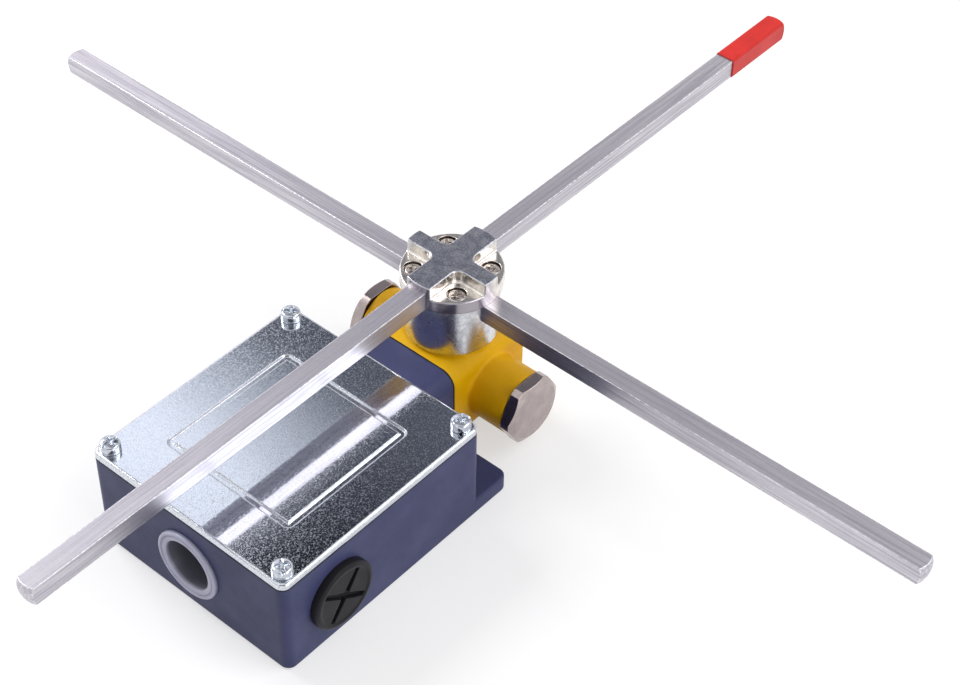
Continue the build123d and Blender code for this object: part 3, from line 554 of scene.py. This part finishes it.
# Cover plate: pressed sheet steel, bright zinc plated, with a sunk bead round its bare field.
# The plating shows a fine sparkling grain over a soft waviness, and it is brighter along the pressed edges.
ZINC_LIGHT = (0.80, 0.83, 0.88)
ZINC_DARK = (0.50, 0.52, 0.58)
ZINC_ROUGHNESS = (0.085, 0.065)
PLATING_EVEN = 0.16
PLATING_CLOUD = 45.0


def make_plating_grain():
    """Sparkle of bright zinc: a fine grain, over the waviness of rolled sheet."""
    group, start, end = shader_group(
        "plating_grain",
        [("Place", "vector"), ("Grain size", "value"), ("Wave size", "value")],
        [("Height", "value"), ("Grain", "value"), ("Cloud", "value")],
    )
    given = start.outputs
    grain = noise(group, given["Place"], given["Grain size"], 2.0, 0.6)
    wave = noise(group, given["Place"], given["Wave size"], 1.0, 0.5)
    even = sums(group, "MULTIPLY", sums(group, "ADD", grain, wave), PLATING_EVEN)
    feed(group, end.inputs["Height"], sums(group, "ADD", even, spread(group, grain, 0.56, 0.8)))
    feed(group, end.inputs["Grain"], spread(group, grain, *CLOUD_RANGE))
    cloud = noise(group, given["Place"], PLATING_CLOUD, 3.0, 0.6)
    feed(group, end.inputs["Cloud"], spread(group, cloud, *CLOUD_RANGE))
    return group


plating_grain = make_plating_grain()


def zinc_sheet():
    """Bright zinc plating on rolled sheet."""
    material, tree, shader, place = surface("zinc_sheet", metallic=1.0)
    plating = place_group(tree, plating_grain, Place=place, Grain_size=2700.0, Wave_size=600.0)
    feed(tree, shader.inputs["Base Color"], blend_colours(tree, plating["Grain"], ZINC_DARK, ZINC_LIGHT))
    feed(tree, shader.inputs["Roughness"], spread(tree, plating["Cloud"], 0.0, 1.0, *ZINC_ROUGHNESS))
    relief(tree, shader, plating["Height"], distance=0.000008, rounding=0.0004)
    return material


wear_finish(zinc_sheet(), "cover_plate")

# Cover screws: zinc-plated M3 pan heads with a cross recess and a slot, screwed into the box's corners.
# Each stands at its own angle, as it was tightened.
SCREW_STEPS = 84
SCREW_FACE_RINGS = 22
SCREW_EDGE_RINGS = 5
SCREW_ROUNDING = 0.34
SCREW_DOME = 0.10
SCREW_SHANK = 1.45
SCREW_SHARP = 28.0
RECESS_REACH = 0.66
RECESS_WIDTH = 0.30
RECESS_DEPTH = 0.62
RECESS_SLOPE = 0.55
RECESS_SOFT = 0.07
SLOT_WIDTH = 0.30
SLOT_DEPTH = 0.36
COVER_HEAD = 3.0
COVER_HEAD_HEIGHT = 2.4


def screw_sink(x, y, radius, height, slotted):
    """Depth of the cross recess and of the slot under a point of the head."""
    soft = RECESS_SOFT * radius
    deepest = 0.0
    for along, across in ((abs(x), abs(y)), (abs(y), abs(x))):
        inside = eased((RECESS_WIDTH * radius / 2 - across) / soft + 0.5)
        inside *= eased((RECESS_REACH * radius - along) / soft)
        slope = 1 - RECESS_SLOPE * along / (RECESS_REACH * radius)
        deepest = max(deepest, inside * slope * RECESS_DEPTH * height)
    if slotted:
        inside = eased((SLOT_WIDTH * radius / 2 - abs(y)) / soft + 0.5)
        deepest = max(deepest, inside * SLOT_DEPTH * height)
    return deepest


def turned_screw(radius, height, length, slotted=False):
    """A pan-head screw along Z in mm, with the seat of its head at z = 0."""
    rounding = SCREW_ROUNDING * height
    dome = SCREW_DOME * height
    flat = radius - rounding
    rings = []
    for step in range(1, SCREW_FACE_RINGS + 1):
        share = step / SCREW_FACE_RINGS
        rings.append((flat * share, height - dome * share ** 2))
    for step in range(1, SCREW_EDGE_RINGS + 1):
        turn = math.pi / 2 * step / SCREW_EDGE_RINGS
        rings.append((flat + rounding * math.sin(turn), height - dome - rounding * (1 - math.cos(turn))))
    rings += [(radius, (height - dome - rounding) * 0.5), (radius, 0.0), (SCREW_SHANK, 0.0),
              (SCREW_SHANK, -length)]
    return turned_solid(rings, SCREW_STEPS,
                        lambda x, y, z: min(z, height - screw_sink(x, y, radius, height, slotted)))


def set_out(shape, seats, seed, tip=Matrix.Identity(3)):
    """Copies of a shape in mm at each seat (in metres), turned at random about Z and then tipped."""
    spins = random.Random(seed)
    all_vertices, all_faces = [], []
    for seat in seats:
        spin = Matrix.Rotation(spins.uniform(0, math.tau), 3, "Z")
        vertices, faces = placed(shape, seat, tip @ spin)
        first = len(all_vertices)
        all_vertices += vertices
        all_faces += [tuple(first + index for index in face) for face in faces]
    return all_vertices, all_faces


def corners_of(node, inset, z):
    """Seats at a height for four screws whose heads reach the corners of their node's box; inset is in mm."""
    low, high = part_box(node)
    return [(x, y, z) for x in (low[0] + inset * MM, high[0] - inset * MM)
            for y in (low[1] + inset * MM, high[1] - inset * MM)]


cover_low, cover_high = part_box("cover_screws")
cover_seat = cover_high[2] - COVER_HEAD_HEIGHT * MM
cover_seats = corners_of("cover_screws", COVER_HEAD, cover_seat)
cover_screw = turned_screw(COVER_HEAD, COVER_HEAD_HEIGHT, (cover_seat - cover_low[2]) / MM, slotted=True)
new_piece("cover_screws_turned", set_out(cover_screw, cover_seats, 4), screw_zinc, "housing",
          "cover_screws", SCREW_SHARP)

# Cover screw washers: split spring washers of square wire, wound, cut through and zinc plated.
# Under each screw one end stands a little higher than the other.
WASHER_RADII = (1.6, 3.08)
WASHER_WIRE = 0.72
WASHER_EDGE = 0.1
WASHER_RISE = 0.16
WASHER_GAP = 9.0
WASHER_SLANT = 9.0
WASHER_STEPS = 60


def split_washer():
    """A cut washer in mm, from z = 0."""
    inner, outer = WASHER_RADII
    outline = [(inner, 0.0), (outer - WASHER_EDGE, 0.0), (outer, WASHER_EDGE),
               (outer, WASHER_WIRE - WASHER_EDGE), (outer - WASHER_EDGE, WASHER_WIRE), (inner, WASHER_WIRE)]
    sections = []
    for step in range(WASHER_STEPS + 1):
        turn = math.radians(WASHER_GAP + (360 - 2 * WASHER_GAP) * step / WASHER_STEPS)
        section = []
        for r, z in outline:
            angle = turn + math.radians(WASHER_SLANT) * (z / WASHER_WIRE - 0.5)
            section.append((r * math.cos(angle), r * math.sin(angle), z + WASHER_RISE * step / WASHER_STEPS))
        sections.append(section)
    return swept(sections)


washer_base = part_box("cover_screw_washers")[0][2]
washer_seats = [(x, y, washer_base) for x, y, z in cover_seats]
new_piece("cover_washers_wound", set_out(split_washer(), washer_seats, 9), screw_zinc, "housing",
          "cover_screw_washers", sharp=25.0)

# Head casting: a die-cast block with a cross barrel for the detents, in golden-yellow powder coat.
# It is bored for the shaft and the two plungers, and a gasket seals it to the neck.
HEAD_LIGHT = (0.86, 0.475, 0.0)
HEAD_DARK = (0.76, 0.40, 0.0)
HEAD_WORN = (0.95, 0.60, 0.02)
HEAD_WEAR = 0.35
HEAD_ROUGHNESS = 0.44
HEAD_PEEL = 1300.0
wear_finish(painted_casting("head_coat", HEAD_LIGHT, HEAD_DARK, HEAD_WORN, HEAD_WEAR,
                            HEAD_ROUGHNESS, HEAD_PEEL), "head_casting")

# Head screws: four long zinc-plated M3 pan heads with a cross recess.
# They hold the head to the neck from behind.
M3_HEAD = 2.75
M3_HEAD_HEIGHT = 1.8
head_low, head_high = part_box("head_screws")
head_seat = head_high[1] - M3_HEAD_HEIGHT * MM
head_seats = [(x, head_seat, z) for x in (head_low[0] + M3_HEAD * MM, head_high[0] - M3_HEAD * MM)
              for z in (head_low[2] + M3_HEAD * MM, head_high[2] - M3_HEAD * MM)]
head_screw = turned_screw(M3_HEAD, M3_HEAD_HEIGHT, (head_seat - head_low[1]) / MM)
along_y = Matrix.Rotation(math.radians(-90), 3, "X")
new_piece("head_screws_turned", set_out(head_screw, head_seats, 2, along_y), screw_zinc, "housing",
          "head_screws", SCREW_SHARP)

# Detent caps: hexagonal brass caps, turned, nickel plated and screwed into the barrel over a thin seal.
# The nickel is warm and satin, with faint rings from the lathe on the outer face.
NICKEL_LIGHT = (0.46, 0.395, 0.385)
NICKEL_DARK = (0.385, 0.325, 0.32)
NICKEL_ROUGHNESS = (0.24, 0.17)


def make_turning_rings():
    """Fine rings about a centre line along X, as a lathe leaves them."""
    group, start, end = shader_group(
        "turning_rings",
        [("Place", "vector"), ("Centre Y", "value"), ("Centre Z", "value"), ("Ring size", "value")],
        [("Height", "value")],
    )
    given = start.outputs
    axes = axes_of(group, given["Place"])
    y = sums(group, "SUBTRACT", axes["Y"], given["Centre Y"])
    z = sums(group, "SUBTRACT", axes["Z"], given["Centre Z"])
    squares = sums(group, "ADD", sums(group, "MULTIPLY", y, y), sums(group, "MULTIPLY", z, z))
    radius = group.nodes.new("ShaderNodeCombineXYZ")
    feed(group, radius.inputs[0], sums(group, "SQRT", squares))
    feed(group, end.inputs["Height"], noise(group, radius.outputs[0], given["Ring size"], 2.0, 0.6))
    return group


turning_rings = make_turning_rings()


def nickel_cap(centre_y, centre_z):
    """Satin nickel plating on a turned cap."""
    material, tree, shader, place = surface("cap_nickel", metallic=1.0)
    skin = place_group(tree, casting_skin, Place=place, Peel_size=1800.0, Cloud_size=200.0)
    rings = place_group(tree, turning_rings, Place=place, Centre_Y=centre_y, Centre_Z=centre_z,
                        Ring_size=3500.0)
    feed(tree, shader.inputs["Base Color"], blend_colours(tree, skin["Cloud"], NICKEL_DARK, NICKEL_LIGHT))
    feed(tree, shader.inputs["Roughness"], spread(tree, skin["Cloud"], 0.0, 1.0, *NICKEL_ROUGHNESS))
    height = sums(tree, "ADD", rings["Height"], skin["Height"])
    relief(tree, shader, height, distance=0.000003, rounding=0.0003)
    return material


cap_low, cap_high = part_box("detent_cap_right")
wear_finish(nickel_cap((cap_low[1] + cap_high[1]) / 2, (cap_low[2] + cap_high[2]) / 2),
            "detent_cap_right", "detent_cap_left")

# Rod clamp: two zinc die castings, tumbled bright. The lower half sits on the shaft's square under a fixing
# screw. The upper half is a cross on a disc whose top has been linished, which leaves it smoother than its
# pockets. The top's darker, bluer colour is a painted reflection of the dark studio ceiling.
CLAMP_LIGHT = (0.76, 0.77, 0.80)
CLAMP_DARK = (0.55, 0.57, 0.62)
POCKET_LIGHT = (0.84, 0.80, 0.75)
POCKET_DARK = (0.60, 0.565, 0.54)
# Painted shade on the front right side of the disc's rim.
RIM_PAINTED_SHADE = (0.40, 0.37, 0.41)
RIM_DEPTH = (0.0004, 0.0001)
RIM_SHADE_SIDE = (0.6, -0.8)
RIM_SHADE_FROM = (0.0085, 0.0125)
# Colours of the linished top, which hold a painted dark reflection.
CROWN_PAINTED_REFLECTION_LIGHT = (0.56, 0.57, 0.62)
CROWN_PAINTED_REFLECTION_DARK = (0.22, 0.23, 0.28)
CROWN_DEPTH = (0.0003, 0.0001)
CROWN_ROUGHNESS = (0.2, 0.24)
wear_finish(worked_metal("clamp_base", CLAMP_LIGHT, CLAMP_DARK, roughness=0.20, mottle=650.0, distance=0.00003),
            "hub_base")
wear_finish(screw_zinc, "hub_fixing_screw")


def clamp_crown(top, centre_y, radius):
    """Bright casting whose linished top face carries a painted dark reflection, and whose rim has painted shade
    on its front right side.
    """
    material, tree, shader, place = surface("clamp_crown", metallic=1.0)
    fine = place_group(tree, plating_grain, Place=place, Grain_size=1800.0, Wave_size=500.0)
    patches = place_group(tree, casting_skin, Place=place, Peel_size=1500.0, Cloud_size=420.0)
    axes = axes_of(tree, place)
    x, y = axes["X"], sums(tree, "SUBTRACT", axes["Y"], centre_y)
    crown = spread(tree, axes["Z"], top - CROWN_DEPTH[0], top - CROWN_DEPTH[1])
    pocket = blend_colours(tree, patches["Cloud"], POCKET_DARK, POCKET_LIGHT)
    # Painted shade: the rim's front right side is coloured darker.
    side_x, side_y = RIM_SHADE_SIDE
    towards = sums(tree, "ADD", sums(tree, "MULTIPLY", x, side_x), sums(tree, "MULTIPLY", y, side_y))
    squares = sums(tree, "ADD", sums(tree, "POWER", x, 2.0), sums(tree, "POWER", y, 2.0))
    rim = spread(tree, sums(tree, "SQRT", squares), radius - RIM_DEPTH[0], radius - RIM_DEPTH[1])
    rim = sums(tree, "MULTIPLY", rim, spread(tree, towards, *RIM_SHADE_FROM))
    pocket = blend_colours(tree, rim, pocket, RIM_PAINTED_SHADE)
    mottle = sums(tree, "MULTIPLY", sums(tree, "ADD", patches["Cloud"], fine["Grain"]), 0.5)
    # Painted reflection: the linished top is coloured darker and bluer than the pockets.
    linished = blend_colours(tree, mottle, CROWN_PAINTED_REFLECTION_DARK, CROWN_PAINTED_REFLECTION_LIGHT)
    feed(tree, shader.inputs["Base Color"], blend_colours(tree, crown, pocket, linished))
    feed(tree, shader.inputs["Roughness"], spread(tree, crown, 0.0, 1.0, *CROWN_ROUGHNESS))
    relief(tree, shader, fine["Height"], distance=0.000006, rounding=0.0003)
    return material


crown_low, crown_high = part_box("hub_cap")
wear_finish(clamp_crown(crown_high[2], (crown_low[1] + crown_high[1]) / 2, (crown_high[0] - crown_low[0]) / 2),
            "hub_cap")

# Clamp screws: four nickel-plated M3 pan heads, sunk in the disc beside the cross.
# They pull the upper half down onto the rods.
SCREW_NICKEL_LIGHT = (0.54, 0.49, 0.46)
SCREW_NICKEL_DARK = (0.36, 0.32, 0.30)
screw_nickel = worked_metal("screw_nickel", SCREW_NICKEL_LIGHT, SCREW_NICKEL_DARK, roughness=0.12, mottle=900.0,
                            rounding=0.0002)
clamp_low, clamp_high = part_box("hub_screws")
clamp_seat = clamp_high[2] - M3_HEAD_HEIGHT * MM
clamp_screw = turned_screw(M3_HEAD, M3_HEAD_HEIGHT, (clamp_seat - clamp_low[2]) / MM)
new_piece("hub_screws_turned", set_out(clamp_screw, corners_of("hub_screws", M3_HEAD, clamp_seat), 7),
          screw_nickel, "lever", "hub_screws", SCREW_SHARP)

# Rods: square drawn aluminium bar, sawn off and turned to a dome at both ends.
# Drawing leaves lines along the bar, and handling leaves scattered lighter and darker streaks.
ROD_LIGHT = (0.66, 0.635, 0.68)
ROD_DARK = (0.38, 0.365, 0.415)
ROD_EDGE = (0.92, 0.91, 0.94)
ROD_ROUGHNESS = (0.38, 0.28)
STREAK_SHARE = 0.86
SCRATCH_SHARE = 0.14
STREAK_WIDTH = 0.28


def make_drawn_lines():
    """Lines along a bar: the place is squeezed along the bar's direction."""
    group, start, end = shader_group(
        "drawn_lines",
        [("Place", "vector"), ("Squeeze", "vector"), ("Line size", "value")],
        [("Height", "value"), ("Streak", "value")],
    )
    given = start.outputs
    along = group.nodes.new("ShaderNodeVectorMath")
    along.operation = "MULTIPLY"
    feed(group, along.inputs[0], given["Place"])
    feed(group, along.inputs[1], given["Squeeze"])
    drawn = along.outputs["Vector"]
    feed(group, end.inputs["Height"], noise(group, drawn, given["Line size"], 3.0, 0.6))
    wide = noise(group, drawn, sums(group, "MULTIPLY", given["Line size"], STREAK_WIDTH), 3.0, 0.65)
    feed(group, end.inputs["Streak"], spread(group, wide, 0.36, 0.64))
    return group


drawn_lines = make_drawn_lines()


def drawn_bar(name, squeeze, scratch_squeeze):
    """Drawn aluminium with its lines along one axis, and fine handling scratches across it."""
    material, tree, shader, place = surface(name, metallic=1.0)
    lines = place_group(tree, drawn_lines, Place=place, Squeeze=squeeze, Line_size=4600.0)
    scratches = place_group(tree, drawn_lines, Place=place, Squeeze=scratch_squeeze, Line_size=5200.0)
    edges = place_group(tree, edge_wear, Place=place, Width=0.0006, Breakup_size=900.0)
    streaked = sums(tree, "MULTIPLY", lines["Streak"], STREAK_SHARE)
    scratched = sums(tree, "MULTIPLY", scratches["Streak"], SCRATCH_SHARE)
    colour = blend_colours(tree, sums(tree, "ADD", streaked, scratched), ROD_DARK, ROD_LIGHT)
    feed(tree, shader.inputs["Base Color"], blend_colours(tree, edges["Mask"], colour, ROD_EDGE))
    feed(tree, shader.inputs["Roughness"], spread(tree, lines["Streak"], 0.0, 1.0, *ROD_ROUGHNESS))
    relief(tree, shader, lines["Height"], distance=0.000010, rounding=0.0003)
    return material


wear_finish(drawn_bar("bar_along_y", (1.0, 0.02, 1.0), (0.5, 1.0, 1.0)), "rod_upper")
wear_finish(drawn_bar("bar_along_x", (0.02, 1.0, 1.0), (1.0, 0.5, 1.0)), "rod_lower")

# Rod sleeve: soft red plastic on the rear rod end, which is dipped in it and left to drip smooth.
# It is a little glossy and paler where it has been rubbed.
RED_LIGHT = (0.71, 0.019, 0.012)
RED_DARK = (0.60, 0.012, 0.008)
RED_RUBBED = (0.86, 0.09, 0.07)
wear_finish(moulding("dipped_red", RED_LIGHT, RED_DARK, RED_RUBBED, roughness=0.34, peel=500.0, specular=0.35),
            "rod_sleeve")

# Photographer's table: a white sheet under the switch, which keeps its soft shadow.
# It glows a little for the camera and for reflections, and far off it fades into the white background.
FLOOR_HALF = 6.0
FLOOR_DROP = 0.0002
FLOOR_COLOUR = (0.50, 0.50, 0.51)
FLOOR_ROUGHNESS = 0.9
FLOOR_GLOW = 0.54
FLOOR_FAR_GLOW = 0.46
FLOOR_FADE = (0.5, 1.4)
WHITE = (1.0, 1.0, 1.0)


def flat_sheet(name, low, high, corner_order=(0, 1, 2, 3)):
    """A level sheet of the studio between two corners (x, y)."""
    mesh = bpy.data.meshes.new(name)
    corners = [(low[0], low[1], 0), (high[0], low[1], 0), (high[0], high[1], 0), (low[0], high[1], 0)]
    mesh.from_pydata(corners, [], [corner_order])
    sheet = bpy.data.objects.new(name, mesh)
    bpy.context.scene.collection.objects.link(sheet)
    return sheet


def white_paper():
    """Matte paper that glows for the camera and for reflections."""
    material, tree, shader, place = surface("white_paper", specular=0.1)
    feed(tree, shader.inputs["Base Color"], FLOOR_COLOUR)
    shader.inputs["Roughness"].default_value = FLOOR_ROUGHNESS
    rays = tree.nodes.new("ShaderNodeLightPath").outputs
    seen = sums(tree, "ADD", rays["Is Camera Ray"], rays["Is Glossy Ray"])
    from_middle = tree.nodes.new("ShaderNodeVectorMath")
    from_middle.operation = "LENGTH"
    feed(tree, from_middle.inputs[0], place)
    far = spread(tree, from_middle.outputs["Value"], *FLOOR_FADE)
    near_glow = sums(tree, "MULTIPLY", seen, FLOOR_GLOW)
    far_glow = sums(tree, "MULTIPLY", rays["Is Camera Ray"], sums(tree, "MULTIPLY", far, FLOOR_FAR_GLOW))
    feed(tree, shader.inputs["Emission Color"], WHITE)
    feed(tree, shader.inputs["Emission Strength"], sums(tree, "ADD", near_glow, far_glow))
    return material


floor = flat_sheet("floor_sheet", (-FLOOR_HALF, -FLOOR_HALF), (FLOOR_HALF, FLOOR_HALF))
floor.location.z = cad_low[2] - FLOOR_DROP
floor.data.materials.append(white_paper())

# Studio ceiling: dark, with one soft window to the left and lighter ends. Only reflections see it, so the
# cover and the clamp show a bright side and a dark side, as polished metal does in a studio.
CEILING_HEIGHT = 1.04
CEILING_LOW = (-1.9, 0.1)
CEILING_HIGH = (0.4, 1.28)
CEILING_WINDOW = (1.28, 1.34, 1.46)
# Zones that lie over the window, each over the last: where it starts and is full along an axis, and its tone.
CEILING_ZONES = [
    ([("X", -0.675, -0.655)], (0.03, 0.03, 0.04)),
    ([("Y", 0.57, 0.72)], (0.12, 0.13, 0.16)),
    ([("Y", 0.92, 1.02)], (0.50, 0.49, 0.53)),
    ([("X", -0.90, -0.98)], (1.25, 1.22, 1.28)),
    ([("X", -0.42, -0.36)], WHITE),
    ([("X", -0.60, -0.52), ("Y", 0.76, 0.81)], (0.40, 0.39, 0.43)),
    ([("Y", 0.49, 0.43)], (0.42, 0.41, 0.44)),
]


def glow_in_reflections(sheet):
    """Let only glossy rays see a sheet, as a glow whose colour is still to be fed."""
    for ray in ("camera", "diffuse", "transmission", "volume_scatter", "shadow"):
        setattr(sheet, "visible_" + ray, False)
    material = bpy.data.materials.new(sheet.name)
    material.use_nodes = True
    tree = material.node_tree
    tree.nodes.remove(tree.nodes["Principled BSDF"])
    glow = tree.nodes.new("ShaderNodeEmission")
    feed(tree, tree.nodes["Material Output"].inputs["Surface"], glow.outputs[0])
    sheet.data.materials.append(material)
    return tree, glow.inputs["Color"]


def ceiling_pattern(tree):
    """The window's tone, with the other zones laid over it."""
    axes = axes_of(tree, tree.nodes.new("ShaderNodeTexCoord").outputs["Object"])
    colour = CEILING_WINDOW
    for edges, tone in CEILING_ZONES:
        shares = [spread(tree, axes[axis], starts, full) for axis, starts, full in edges]
        share = shares[0] if len(shares) == 1 else sums(tree, "MULTIPLY", *shares)
        colour = blend_colours(tree, share, colour, tone)
    return colour


ceiling = flat_sheet("studio_ceiling", CEILING_LOW, CEILING_HIGH, (0, 3, 2, 1))
ceiling.location.z = CEILING_HEIGHT
ceiling_tree, ceiling_tone = glow_in_reflections(ceiling)
feed(ceiling_tree, ceiling_tone, ceiling_pattern(ceiling_tree))

# Dark sheet on the photographer's side, which only reflections see.
# Metal that faces it looks darker than the white room would make it.
DARK_SHEET_HALF = (0.75, 0.45)
DARK_SHEET_PLACE = (0.90, -1.05, 1.10)
DARK_SHEET_TONE = (0.12, 0.12, 0.135)
half_width, half_height = DARK_SHEET_HALF
dark_sheet = flat_sheet("dark_room", (-half_width, -half_height), (half_width, half_height))
dark_sheet.location = DARK_SHEET_PLACE
dark_sheet.rotation_euler = (-dark_sheet.location).to_track_quat("Z", "Y").to_euler()
dark_tree, dark_tone = glow_in_reflections(dark_sheet)
feed(dark_tree, dark_tone, DARK_SHEET_TONE)

# Lights: a soft box above on the left, a wider and weaker one behind on the right, and a small one low on the
# right. The room round them is white, and dimmer as a light than it looks.
SOFT_BOXES = [
    ("left_box", (-1.25, 0.0, 1.1), 0.8, 19),
    ("right_box", (0.98, 0.78, 1.25), 1.1, 10),
    ("side_box", (1.3, -0.1, 0.5), 0.6, 5),
]
SOFT_BOX_AIM = (0, 0, 0.02)
ROOM_LIGHT = 0.39


def white_surround():
    """World that shows white behind and in reflections, and lights softly."""
    world = bpy.data.worlds.new("white_surround")
    bpy.context.scene.world = world
    world.use_nodes = True
    tree = world.node_tree
    background = tree.nodes["Background"]
    rays = tree.nodes.new("ShaderNodeLightPath").outputs
    seen = sums(tree, "ADD", rays["Is Camera Ray"], rays["Is Glossy Ray"])
    seen = sums(tree, "ADD", seen, rays["Is Transmission Ray"])
    feed(tree, background.inputs["Color"], WHITE)
    feed(tree, background.inputs["Strength"], spread(tree, seen, 0.0, 1.0, ROOM_LIGHT, 1.0))


white_surround()
for name, place, size, watts in SOFT_BOXES:
    lamp = bpy.data.lights.new(name, "AREA")
    lamp.shape = "RECTANGLE"
    lamp.size = size
    lamp.size_y = size
    lamp.energy = watts
    box = bpy.data.objects.new(name, lamp)
    bpy.context.scene.collection.objects.link(box)
    box.location = place
    box.rotation_euler = (Vector(SOFT_BOX_AIM) - Vector(place)).to_track_quat("-Z", "Y").to_euler()

# Camera: placed from the switch's known corners in the photograph, so the render has the photo's view.
# It stands at the front right and looks down at the cover.
CAMERA_PLACE = (0.3109, -0.29195, 0.4769)
CAMERA_AZIMUTH = 40.29
CAMERA_ELEVATION = 43.961
CAMERA_ROLL = 0.998
CAMERA_LENS = 80.1
CAMERA_SENSOR = 36
CAMERA_NEAR = 0.01


def camera_axes():
    """The camera's right, up and backward directions as the columns of a matrix."""
    azimuth = math.radians(CAMERA_AZIMUTH)
    elevation = math.radians(CAMERA_ELEVATION)
    roll = math.radians(CAMERA_ROLL)
    back = Vector((math.sin(azimuth) * math.cos(elevation), -math.cos(azimuth) * math.cos(elevation),
                   math.sin(elevation)))
    right = Vector((math.cos(azimuth), math.sin(azimuth), 0))
    up = back.cross(right)
    rolled_right = math.cos(roll) * right + math.sin(roll) * up
    rolled_up = -math.sin(roll) * right + math.cos(roll) * up
    return Matrix((rolled_right, rolled_up, back)).transposed()


lens = bpy.data.cameras.new("photo_camera")
lens.lens = CAMERA_LENS
lens.sensor_width = CAMERA_SENSOR
lens.clip_start = CAMERA_NEAR
camera = bpy.data.objects.new("photo_camera", lens)
bpy.context.scene.collection.objects.link(camera)
camera.matrix_world = Matrix.Translation(CAMERA_PLACE) @ camera_axes().to_4x4()
bpy.context.scene.camera = camera
bpy.context.scene.view_settings.view_transform = "Standard"
